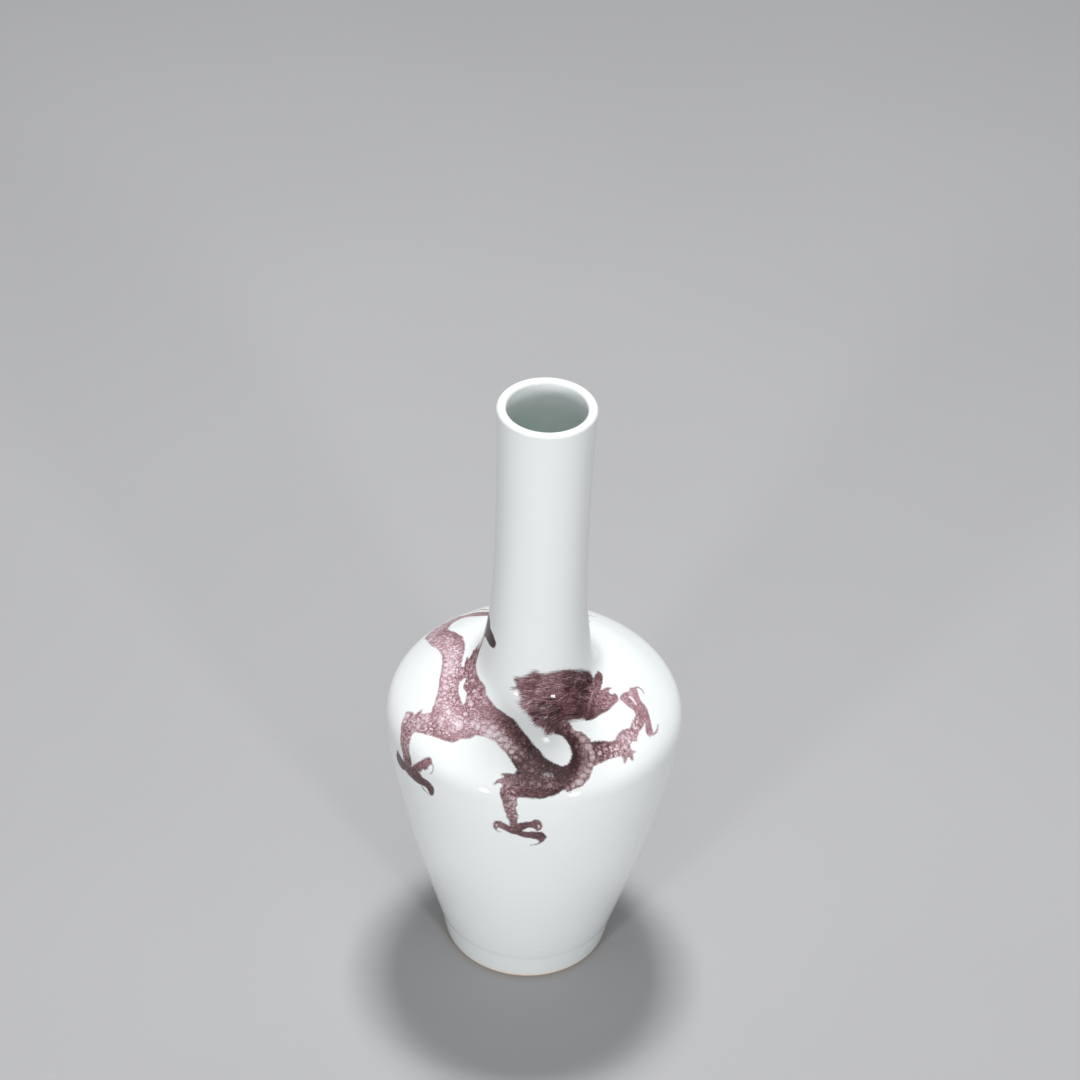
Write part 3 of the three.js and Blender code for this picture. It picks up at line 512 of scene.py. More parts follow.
    (-108.0, 126.0, 0.93, 0.00), (-120.0, 131.0, 0.95, 0.00), (-98.0, 121.0, 0.85, 0.10),
]

# pale scale spots left in the wash: centre (angle, s), the two half axes as (across, up) in mm, strength
DOTS = [
    (-99.4, 111.1, 0.14, 0.89, 0.64, 0.15, 0.74), (-95.9, 111.2, 0.16, 0.78, 0.53, 0.09, 0.74),
    (-90.4, 111.4, 0.25, 0.85, 0.94, 0.06, 0.92), (-85.5, 111.3, 0.28, 0.76, 0.68, -0.02, 0.92),
    (-81.0, 110.9, 0.32, 0.71, 0.83, -0.09, 0.92), (-76.1, 110.5, 0.36, 0.65, 0.75, -0.15, 0.92),
    (-71.0, 110.1, 0.58, 0.89, 0.94, -0.29, 0.87), (-66.9, 109.0, 0.53, 0.69, 0.52, -0.20, 0.83),
    (-64.3, 106.9, 0.62, 0.72, 0.56, -0.25, 0.83), (-61.8, 105.4, 0.62, 0.65, 0.43, -0.22, 0.74),
    (-59.2, 104.3, 0.65, 0.62, 0.28, -0.17, 0.55), (-121.9, 99.0, 0.32, 1.30, 0.44, 0.38, 0.55),
    (-118.8, 99.7, 0.34, 1.32, 0.42, 0.32, 0.55), (-112.5, 104.6, 0.13, 0.77, 0.40, 0.22, 0.64),
    (-109.9, 106.2, 0.11, 0.76, 0.38, 0.18, 0.64), (-107.4, 107.7, 0.10, 0.75, 0.32, 0.13, 0.64),
    (-105.4, 109.1, 0.09, 0.72, 0.31, 0.11, 0.64), (-78.5, 113.5, 0.28, 0.57, 0.81, -0.13, 0.74),
    (-80.2, 114.7, 0.22, 0.46, 0.78, -0.10, 0.46), (-69.3, 112.7, 0.28, 0.44, 0.78, -0.26, 0.51),
    (-66.2, 112.3, 0.24, 0.34, 0.49, -0.19, 0.46), (-63.5, 111.1, 0.32, 0.41, 0.57, -0.26, 0.46),
    (-58.2, 110.3, 0.33, 0.36, 0.66, -0.39, 0.78), (-79.1, 116.2, 0.31, 0.55, 0.85, -0.13, 0.74),
    (-55.8, 108.3, 0.33, 0.32, 0.43, -0.28, 0.46), (-59.8, 108.1, 0.50, 0.53, 0.53, -0.29, 0.64),
    (-59.0, 106.8, 0.52, 0.52, 0.57, -0.34, 0.55), (-64.1, 118.4, 0.63, 0.62, 0.64, -0.33, 0.55),
    (-55.1, 116.9, 0.40, 0.36, 0.65, -0.45, 0.69), (-57.5, 115.3, 0.36, 0.37, 0.42, -0.26, 0.64),
    (-48.2, 113.2, 0.72, 0.61, 0.91, -0.77, 0.78), (-53.2, 114.2, 0.50, 0.48, 0.55, -0.39, 0.55),
    (-40.9, 116.0, 0.58, 0.38, 0.37, -0.42, 0.55), (-44.9, 116.7, 0.47, 0.33, 0.34, -0.35, 0.51),
    (-72.8, 117.5, 0.22, 0.29, 0.61, -0.18, 0.55), (-70.5, 118.6, 0.34, 0.38, 0.57, -0.21, 0.55),
    (-77.1, 119.1, 0.39, 0.46, 0.39, -0.09, 0.55), (-76.2, 119.8, 0.38, 0.41, 0.59, -0.16, 0.55),
    (-77.9, 118.4, 0.37, 0.48, 0.40, -0.08, 0.46), (-54.3, 118.9, 0.45, 0.35, 0.41, -0.34, 0.37),
    (-48.9, 116.0, 0.33, 0.26, 0.44, -0.37, 0.46), (-66.1, 116.0, 0.19, 0.24, 0.58, -0.24, 0.46),
    (-80.5, 119.7, 0.25, 0.29, 0.64, -0.11, 0.46), (-87.0, 119.1, 0.19, 0.27, 0.82, -0.01, 0.37),
    (-87.1, 122.5, 0.32, 0.32, 0.73, -0.01, 0.37), (-45.0, 109.6, 0.58, 0.43, 0.59, -0.57, 0.87),
    (-55.9, 100.2, 0.46, 0.39, 0.47, -0.34, 0.74), (-37.0, 108.7, 0.64, 0.38, 0.55, -0.71, 0.69),
    (-33.2, 108.3, 0.55, 0.29, 0.73, -1.08, 0.77), (-29.4, 108.5, 0.72, 0.33, 0.56, -0.95, 0.85),
    (-25.6, 108.3, 0.82, 0.33, 0.37, -0.74, 0.85), (-21.6, 107.8, 0.77, 0.26, 0.31, -0.75, 0.85),
    (-48.0, 104.2, 0.29, 0.21, 0.45, -0.41, 0.74), (-52.8, 102.9, 0.90, 0.73, 0.70, -0.55, 0.55),
    (-42.8, 105.7, 1.07, 0.70, 1.20, -1.30, 0.69), (-53.9, 106.6, 0.64, 0.57, 0.76, -0.54, 0.74),
    (-60.4, 100.1, 0.80, 0.74, 0.66, -0.39, 0.55), (-68.9, 95.8, 0.55, 0.56, 0.63, -0.26, 0.92),
    (-67.3, 94.0, 0.61, 0.57, 0.46, -0.23, 0.83), (-63.2, 94.4, 0.43, 0.38, 0.69, -0.42, 0.46),
    (-58.7, 88.9, 0.52, 0.40, 0.36, -0.56, 0.46), (-38.1, 106.0, 0.44, 0.25, 0.27, -0.34, 0.64),
    (-62.0, 97.2, 0.45, 0.41, 0.39, -0.23, 0.46), (-52.8, 99.3, 0.39, 0.30, 0.31, -0.25, 0.41),
    (-57.5, 98.0, 0.36, 0.31, 0.33, -0.23, 0.46), (-51.1, 100.3, 0.41, 0.31, 0.33, -0.28, 0.46),
    (-50.6, 102.0, 0.32, 0.25, 0.31, -0.26, 0.46), (-46.7, 102.0, 0.36, 0.25, 0.28, -0.28, 0.46),
    (-43.1, 102.9, 0.38, 0.24, 0.26, -0.29, 0.46), (-17.4, 106.9, 0.98, 0.27, 0.25, -0.76, 0.85),
    (-13.5, 105.3, 0.92, 0.20, 0.21, -0.83, 0.81), (-10.5, 103.9, 0.86, 0.15, 0.16, -0.75, 0.77),
    (-8.1, 102.3, 0.73, 0.11, 0.10, -0.61, 0.55), (-28.9, 110.9, 0.68, 0.32, 0.39, -0.68, 0.64),
    (-25.2, 110.0, 0.76, 0.30, 0.37, -0.75, 0.72), (-20.1, 108.6, 0.77, 0.25, 0.30, -0.76, 0.68),
    (-15.5, 107.7, 0.78, 0.20, 0.21, -0.70, 0.59), (-12.1, 106.6, 0.79, 0.16, 0.17, -0.70, 0.51),
    (-8.4, 105.2, 0.73, 0.11, 0.11, -0.63, 0.38), (-5.5, 104.0, 0.73, 0.08, 0.10, -0.76, 0.26),
    (-6.0, 101.7, 0.73, 0.09, 0.10, -0.75, 0.26), (-22.7, 110.7, 0.51, 0.19, 0.34, -0.77, 0.42),
    (-18.5, 109.8, 0.52, 0.16, 0.23, -0.64, 0.34), (-16.6, 112.0, 0.39, 0.11, 0.14, -0.44, 0.30),
    (-21.9, 113.6, 0.32, 0.11, 0.15, -0.36, 0.26), (-31.6, 113.4, 0.24, 0.13, 0.17, -0.27, 0.46),
    (-4.6, 107.1, 0.40, 0.04, 0.05, -0.43, 0.30), (-3.0, 99.8, 0.71, 0.06, 0.06, -0.72, 0.32),
    (0.2, 98.9, 0.65, 0.03, 0.03, -0.66, 0.32), (5.2, 100.3, 0.48, -0.01, -0.02, -0.49, 0.37),
    (-5.1, 96.9, 0.47, 0.05, 0.05, -0.48, 0.32), (20.3, 112.6, 0.44, -0.10, -0.21, -0.66, 0.37),
    (19.4, 110.2, 0.53, -0.11, -0.26, -0.88, 0.21), (22.6, 105.0, 0.57, -0.14, -0.29, -0.89, 0.21),
    (18.8, 98.1, 0.58, -0.11, -0.12, -0.51, 0.17), (3.3, 94.7, 0.65, 0.00, 0.00, -0.71, 0.37),
    (7.4, 94.4, 0.83, -0.04, -0.04, -0.83, 0.37), (-0.3, 95.1, 0.59, 0.03, 0.03, -0.71, 0.28),
    (-3.3, 94.5, 0.59, 0.05, 0.05, -0.59, 0.28), (10.3, 94.8, 0.54, -0.04, -0.05, -0.53, 0.28),
    (24.2, 110.2, 0.97, -0.27, -0.36, -0.94, 0.42), (25.9, 108.5, 0.73, -0.22, -0.34, -0.84, 0.36),
    (27.2, 106.6, 1.06, -0.33, -0.44, -1.04, 0.44), (28.7, 103.8, 1.23, -0.40, -0.44, -1.00, 0.53),
    (29.2, 101.9, 0.91, -0.30, -0.30, -0.71, 0.47), (28.5, 100.2, 0.91, -0.29, -0.43, -1.06, 0.53),
    (26.5, 98.4, 0.95, -0.27, -0.23, -0.64, 0.53), (24.5, 96.9, 1.04, -0.27, -0.21, -0.67, 0.47),
    (21.8, 95.9, 1.08, -0.24, -0.19, -0.71, 0.44), (19.7, 94.3, 1.42, -0.28, -0.20, -0.93, 0.56),
    (16.9, 93.6, 0.75, -0.12, -0.14, -0.87, 0.47), (14.6, 93.0, 0.62, -0.08, -0.10, -0.80, 0.42),
    (37.0, 102.6, 0.53, -0.23, -0.26, -0.44, 0.41), (41.3, 99.9, 0.72, -0.35, -0.28, -0.42, 0.78),
    (45.1, 102.0, 0.53, -0.29, -0.28, -0.35, 0.55), (50.4, 100.5, 0.53, -0.33, -0.36, -0.38, 0.74),
    (60.5, 102.4, 0.37, -0.30, -0.63, -0.44, 0.74), (57.6, 101.3, 0.75, -0.56, -0.45, -0.36, 0.74),
    (32.9, 100.9, 0.63, -0.23, -0.33, -0.67, 0.69), (34.8, 99.5, 0.45, -0.18, -0.22, -0.41, 0.55),
    (37.6, 98.9, 0.48, -0.21, -0.23, -0.40, 0.55), (45.8, 99.0, 0.66, -0.36, -0.37, -0.48, 0.74),
    (53.4, 101.0, 0.58, -0.40, -0.46, -0.43, 0.69), (29.3, 100.9, 0.58, -0.19, -0.33, -0.77, 0.30),
    (39.1, 101.1, 0.45, -0.20, -0.22, -0.35, 0.55), (43.1, 98.2, 0.48, -0.24, -0.23, -0.33, 0.55),
    (46.3, 100.8, 0.44, -0.25, -0.27, -0.32, 0.55), (33.9, 102.8, 0.41, -0.16, -0.19, -0.36, 0.41),
    (-12.4, 78.7, 0.50, 0.15, -0.00, -0.74, 0.69), (3.5, 80.1, 0.48, -0.00, 0.03, -0.72, 0.87),
    (-7.7, 88.4, 0.54, 0.08, 0.06, -0.72, 0.28), (-6.4, 85.2, 0.66, 0.10, 0.02, -0.49, 0.37),
    (-6.2, 79.6, 0.54, 0.10, 0.00, -0.32, 0.46), (-6.0, 80.7, 0.48, 0.08, 0.00, -0.22, 0.37),
    (-11.1, 91.5, 0.36, 0.06, 0.07, -0.48, 0.46), (-9.7, 92.9, 0.36, 0.06, 0.05, -0.35, 0.37),
    (-5.5, 93.4, 0.38, 0.04, 0.04, -0.38, 0.46), (0.9, 76.8, 0.42, 0.02, 0.01, -0.34, 0.37),
    (-8.6, 90.6, 0.54, 0.08, 0.07, -0.67, 0.23), (3.4, 75.9, 0.72, 0.00, 0.01, -0.24, 0.32),
    (-45.8, 90.9, 0.37, 0.23, 0.20, -0.34, 0.32), (-48.3, 89.1, 0.34, 0.22, 0.11, -0.25, 0.46),
    (-58.1, 86.7, 0.40, 0.32, 0.15, -0.43, 0.46), (-53.3, 85.0, 0.45, 0.35, 0.05, -0.40, 0.46),
    (-44.2, 91.9, 0.22, 0.13, 0.23, -0.35, 0.46), (-48.9, 86.5, 0.38, 0.27, 0.05, -0.20, 0.37),
    (-60.9, 80.4, 0.40, 0.36, -0.07, -0.54, 0.55),
]

# where the fired colour turns from rose to grey-brown: (angle, s, 0 rose .. 1 grey)
HUES = [
    (-115.9, 104.9, 0.00), (-84.8, 112.7, 0.05), (-51.9, 108.4, 0.05), (-56.9, 100.4, 0.15), (-60.3, 91.0, 0.35),
    (-66.5, 117.7, 0.10), (-90.8, 125.8, 0.50), (-40.6, 115.8, 0.00), (-31.6, 108.2, 0.10), (-24.9, 109.3, 0.35),
    (-16.3, 106.7, 0.60), (-10.3, 103.9, 0.80), (-5.7, 101.1, 0.80), (-23.7, 113.7, 0.20), (-10.7, 109.4, 0.30),
    (-1.3, 104.5, 0.35), (6.0, 101.5, 0.30), (-2.5, 94.4, 0.60), (3.5, 94.0, 0.70), (8.4, 93.9, 0.60),
    (13.0, 97.2, 0.40), (19.7, 101.1, 0.35), (21.2, 106.6, 0.40), (16.8, 111.9, 0.40), (27.0, 105.8, 1.00),
    (27.9, 101.3, 1.00), (24.7, 97.2, 0.90), (19.1, 94.1, 1.00), (14.7, 93.1, 0.70), (-9.0, 92.4, 0.55),
    (-7.6, 86.7, 0.50), (-11.1, 79.1, 0.40), (0.2, 79.3, 0.45), (4.2, 75.0, 0.30), (31.7, 101.5, 0.50),
    (36.4, 101.0, 0.35), (43.2, 100.7, 0.25), (54.0, 101.3, 0.10), (66.8, 103.5, 0.00), (73.1, 108.7, 0.10),
    (61.9, 98.2, 0.10), (62.7, 112.9, 0.15), (53.3, 114.7, 0.20), (43.3, 112.5, 0.10), (68.7, 119.6, 0.10),
    (-16.0, 127.1, 0.20), (-0.3, 124.5, 0.15), (12.6, 118.2, 0.00), (34.1, 117.8, 0.10), (55.8, 124.1, 0.35),
    (54.2, 119.4, 0.30), (7.3, 112.4, 0.20), (-61.9, 82.8, 0.50), (-51.3, 81.9, 0.50), (-41.4, 82.3, 0.40),
    (-46.6, 90.0, 0.05), (-143.1, 102.3, 0.30), (-67.1, 135.6, 0.30),
]

R0 = 1.0


def wall_r(s):
    return np.interp(s, CS, CR)


def catmull(p, closed, n=5):
    """Centripetal Catmull-Rom through the points p (in mm), n steps a span."""
    p = np.asarray(p, float)
    q = np.vstack([p[-1:], p, p[:2]]) if closed else np.vstack([2 * p[:1] - p[1:2], p, 2 * p[-1:] - p[-2:-1]])
    out = []
    for i in range(len(q) - 3):
        a, b, c, d = q[i:i + 4]
        t1 = max(np.linalg.norm(b - a), 1e-6) ** 0.5
        t2 = t1 + max(np.linalg.norm(c - b), 1e-6) ** 0.5
        t3 = t2 + max(np.linalg.norm(d - c), 1e-6) ** 0.5
        for t in np.linspace(t1, t2, n, endpoint=False):
            a1 = a * (t1 - t) / t1 + b * t / t1
            a2 = b * (t2 - t) / (t2 - t1) + c * (t - t1) / (t2 - t1)
            a3 = c * (t3 - t) / (t3 - t2) + d * (t - t2) / (t3 - t2)
            b1 = a1 * (t2 - t) / t2 + a2 * t / t2
            b2 = a2 * (t3 - t) / (t3 - t1) + a3 * (t - t1) / (t3 - t1)
            out.append(b1 * (t2 - t) / (t2 - t1) + b2 * (t - t1) / (t2 - t1))
    if not closed:
        out.append(p[-1])
    return np.array(out)


def smooth(points, closed):
    p = np.radians(np.array(points)[:, 0]), np.array(points)[:, 1]
    r = float(wall_r(p[1]).mean())
    c = catmull(np.stack([p[0] * r, p[1]], 1), closed)
    return np.stack([c[:, 0] / r, c[:, 1]], 1)


def seg_dist(th, s, r, line, closed=False):
    """Distance in mm from each (th, s) to a polyline, with the arc length and the side of the nearest point."""
    a = line if closed else line[:-1]
    b = np.roll(line, -1, 0) if closed else line[1:]
    lr = wall_r((a[:, 1] + b[:, 1]) / 2)
    seg = np.hypot((b[:, 0] - a[:, 0]) * lr, b[:, 1] - a[:, 1])
    run = np.concatenate([[0], np.cumsum(seg)[:-1]])
    best = np.full(th.shape, 1e9)
    along, side = np.zeros(th.shape), np.ones(th.shape)
    for i in range(len(a)):
        ax, ay = r * (a[i, 0] - th), a[i, 1] - s
        bx, by = r * (b[i, 0] - th), b[i, 1] - s
        dx, dy = bx - ax, by - ay
        t = np.clip(-(ax * dx + ay * dy) / np.maximum(dx * dx + dy * dy, 1e-12), 0, 1)
        d = np.hypot(ax + t * dx, ay + t * dy)
        k = d < best
        best[k] = d[k]
        along[k] = run[i] + t[k] * seg[i]
        side[k] = np.sign((dx * ay - dy * ax)[k])
    return best, along, np.where(side == 0, 1, side)


def inside(th, s, poly):
    a, b = poly, np.roll(poly, -1, 0)
    hit = np.zeros(th.shape, bool)
    for i in range(len(a)):
        x0, y0, x1, y1 = a[i, 0], a[i, 1], b[i, 0], b[i, 1]
        if y0 == y1:
            continue
        c = (y0 > s) != (y1 > s)
        hit ^= c & (th < (x1 - x0) * (s - y0) / (y1 - y0) + x0)
    return hit


def ss(x, lo, hi):
    t = np.clip((x - lo) / (hi - lo), 0, 1)
    return t * t * (3 - 2 * t)


FAR = 3.0
FIELDS = ["ink", "tone", "spot", "cu", "cv", "dot", "dots", "hair", "hu", "hv", "dark", "lite", "line", "lineside", "grey"]
UNSET = {"ink": FAR, "dark": FAR, "lite": FAR, "line": FAR, "lineside": FAR, "dot": -FAR}


def paint(th, s):
    """The painting's fields at each point of the outer wall. th in radians, s in mm."""
    n = len(th)
    r = wall_r(s)
    f = {k: np.full(n, UNSET.get(k, 0.0)) for k in FIELDS}
    box = (s > 66) & (s < 145) & (th > math.radians(-215)) & (th < math.radians(90))
    idx = np.where(box)[0]
    if not len(idx):
        return f
    t, q, rr = th[idx], s[idx], r[idx]
    g = {k: f[k][idx] for k in FIELDS}
    part = np.full(len(idx), -1)
    names = list(SHAPE)
    polys = {k: smooth(SHAPE[k], True) for k in names}
    lines = {k: smooth(STROKE[k], False) for k in STROKE}
    for j, k in enumerate(names):
        p = polys[k]
        near = np.where((t > p[:, 0].min() - 3 / rr) & (t < p[:, 0].max() + 3 / rr) & (q > p[:, 1].min() - 3) & (q < p[:, 1].max() + 3))[0]
        if not len(near):
            continue
        d, _, _ = seg_dist(t[near], q[near], rr[near], p, True)
        d = np.where(inside(t[near], q[near], p), -d, d)
        better = d < g["ink"][near]
        g["ink"][near[better]] = d[better]
        part[near[better]] = j
    # long strokes: the tail round the back of the neck, the hidden foot and claws
    for k, w0, w1 in BRUSH:
        p = lines[k]
        near = np.where((t > p[:, 0].min() - 4 / rr) & (t < p[:, 0].max() + 4 / rr) & (q > p[:, 1].min() - 5) & (q < p[:, 1].max() + 5))[0]
        if not len(near):
            continue
        d, a, _ = seg_dist(t[near], q[near], rr[near], p)
        u = a / max(a.max(), 1e-6)
        d = d - (w0 + (w1 - w0) * u)
        better = d < g["ink"][near]
        g["ink"][near[better]] = d[better]
        part[near[better]] = names.index(OWNER[k]) if OWNER.get(k) in names else -2
    # tone and spots: weighted mean of the notes around
    num, nums, den = np.zeros(len(idx)), np.zeros(len(idx)), np.full(len(idx), 1e-9)
    act = np.where(g["ink"] < 1.5)[0]
    ta, qa, ra = t[act], q[act], rr[act]
    nn, ns, nd = np.zeros(len(act)), np.zeros(len(act)), np.full(len(act), 1e-12)
    for a, b, tone, spot in TONES:
        d2 = ((math.radians(a) - ta) * ra) ** 2 + (b - qa) ** 2
        w = np.exp(-d2 / (2 * 1.1**2)) + 1e-3 / (1 + d2) ** 2
        nn += w * tone
        ns += w * spot
        nd += w
    g["tone"][act], g["spot"][act] = nn / nd, ns / nd
    nn, nd = np.zeros(len(act)), np.full(len(act), 1e-12)
    for a, b, grey in HUES:
        d2 = ((math.radians(a) - ta) * ra) ** 2 + (b - qa) ** 2
        w = 1 / (d2 + 1.5) ** 2
        nn += w * grey
        nd += w
    g["grey"][act] = nn / nd
    # coordinates along and across each limb, for the scales
    for j, k in enumerate(names):
        spine = SPINE.get(k)
        if spine is None:
            continue
        mine = np.where((part == j) & (g["ink"] < 1.0))[0]
        if not len(mine):
            continue
        d, a, sd = seg_dist(t[mine], q[mine], rr[mine], lines[spine])
        g["cu"][mine] = a + 37.0 * SPINES.index(spine)
        g["cv"][mine] = d * sd
    # pale spots: how far inside the nearest one a point lies (mm), and how strong that one is
    for a, b, ax, ay, bx, by, strength in DOTS:
        a = math.radians(a)
        near = np.where((np.abs(t - a) * rr < 4) & (np.abs(q - b) < 4))[0]
        x, y = (t[near] - a) * rr[near], q[near] - b
        det = ax * by - ay * bx
        u, v = (x * by - y * bx) / det, (y * ax - x * ay) / det
        deep = (1 - np.hypot(u, v)) * abs(det) ** 0.5
        k = deep > g["dot"][near]
        g["dot"][near[k]] = deep[k]
        g["dots"][near[k]] = strength
    # dark and light fine strokes inside the figure
    for table, key in ((DARK, "dark"), (LITE, "lite")):
        for k, w in table:
            p = lines[k]
            near = np.where((t > p[:, 0].min() - 3 / rr) & (t < p[:, 0].max() + 3 / rr) & (q > p[:, 1].min() - 3) & (q < p[:, 1].max() + 3))[0]
            d, a, _ = seg_dist(t[near], q[near], rr[near], p)
            g[key][near] = np.minimum(g[key][near], d - w)
    # thin light lines: the distance, and on which side, so that a line stays sharp between the points
    for h in HAIRS:
        line = smooth(h, False)
        near = np.where((t > line[:, 0].min() - 3 / rr) & (t < line[:, 0].max() + 3 / rr) & (q > line[:, 1].min() - 3) & (q < line[:, 1].max() + 3))[0]
        d, a, sd = seg_dist(t[near], q[near], rr[near], line)
        k = d < g["line"][near]
        g["line"][near[k]] = d[k]
        g["lineside"][near[k]] = (d * sd)[k]
    # hair: a field that follows the guide strokes
    mine = np.where((part == names.index("mane")) & (g["ink"] < 2.5))[0]
    tm, qm, rm = t[mine], q[mine], rr[mine]
    hw, hu, hv = np.full(len(mine), 1e-9), np.zeros(len(mine)), np.zeros(len(mine))
    offset = 0.0
    previous = None
    for k in ("hair1", "hair2", "hair3", "hair4", "hair5"):
        p = lines[k]
        if previous is not None:
            dd, _, _ = seg_dist(p[:, 0], p[:, 1], wall_r(p[:, 1]), previous)
            offset += float(np.median(dd))
        d, a, sd = seg_dist(tm, qm, rm, p)
        w = 1 / (d * d + 0.15) ** 1.5
        hw += w
        hu += w * a
        hv += w * (offset + d * sd * HAIR_SIDE)
        previous = p
    g["hu"][mine], g["hv"][mine] = hu / hw, hv / hw
    g["hair"][mine] = 1.0
    for k in FIELDS:
        f[k][idx] = g[k]
    return f

# name, half width at the start and at the end (mm)
BRUSH = [
    ("tail_ridge", 0.56, 0.34), ("tail_tuft1", 0.9, 0.1), ("tail_tuft2", 0.8, 0.1),
    ("shin_b", 1.7, 1.7), ("toe_h1", 1.7, 0.75), ("toe_h2", 1.6, 0.7), ("claw_h1", 0.5, 0.08), ("claw_h2", 0.45, 0.08),
    ("c_hclaw2", 0.3, 0.14), ("c_ffoot1", 0.36, 0.18), ("c_ffoot3", 0.42, 0.12), ("c_hand2", 0.46, 0.18), ("c_hand3", 0.46, 0.2),
    ("c_hfoot3", 0.24, 0.18),
]
OWNER = {"c_hfoot3": "hfoot3", "c_hclaw2": "hfoot2", "c_ffoot1": "ffoot1", "c_ffoot3": "ffoot3", "c_hand2": "hand", "c_hand3": "hand"}
SPINE = {
    "tail_a": "spine", "tail_r": "spine", "body": "spine", "leg_b": "sp_leg_b", "link": "sp_leg_b", "thigh": "sp_thigh", "fleg": "sp_fleg",
    "arm": "sp_arm", "hand": "sp_hand2", "head": "sp_head", "ear": "sp_ear",
}
SPINES = ["spine", "sp_leg_b", "sp_thigh", "sp_fleg", "sp_arm", "sp_hand2", "sp_head", "sp_ear"]
DARK = [("bellyedge", 0.12), ("back", 0.2), ("belly", 0.08)]
LITE = [("slit_hand", 0.34), ("slit_hand2", 0.34), ("slit_ffoot", 0.16), ("curl_ffoot2", 0.14), ("slit_hfoot3", 0.16), ("swirl", 0.06)]
HAIR_SIDE = 1.0

# ---------------------------------------------------------------- lathe skins


def run_arc(points, mat, smooth=True):
    """One stretch of a section: points are (r, z). Normals are those of the polyline, smoothed inside the stretch."""
    p = np.array(points, float)
    d = np.gradient(p, axis=0) if smooth and len(p) > 2 else np.repeat([p[-1] - p[0]], len(p), 0)
    n = np.stack([d[:, 1], -d[:, 0]], 1)
    n /= np.linalg.norm(n, axis=1)[:, None]
    return {"p": p, "n": n, "mat": mat, "outer": None}


def run_wall(z0, z1, steps, mat, zs=None):
    """The outer wall from z0 up to z1 on the exact profile."""
    s0, s1 = at_z(z0), at_z(z1)
    s = np.linspace(s0, s1, steps + 1) if zs is None else zs
    s[0], s[-1] = s0, s1
    p = np.stack([np.interp(s, CS, CR), np.interp(s, CS, CZ)], 1)
    n = np.stack([np.interp(s, CS, CNR), np.interp(s, CS, CNZ)], 1)
    n /= np.linalg.norm(n, axis=1)[:, None]
    return {"p": p, "n": n, "mat": mat, "outer": s}


def spaced(stops):
    """Rows at a spacing that changes from stop to stop: [(s, spacing), ...]."""
    out = [stops[0][0]]
    for (a, da), (b, db) in zip(stops[:-1], stops[1:]):
        n = max(1, int(math.ceil((b - a) / ((da + db) / 2))))
        w = np.linspace(da, db, n)
        c = np.cumsum(w) / w.sum() * (b - a) + a
        out += list(c)
    return np.array(out)


def columns(stops):
    """Angles in degrees from -180 to 180 (the last left out), spacing by ranges [(from, to, step)]."""
    out = []
    for a, b, step in stops:
        n = int(round((b - a) / step))
        out += list(np.linspace(a, b, n, endpoint=False))
    return np.array(out)


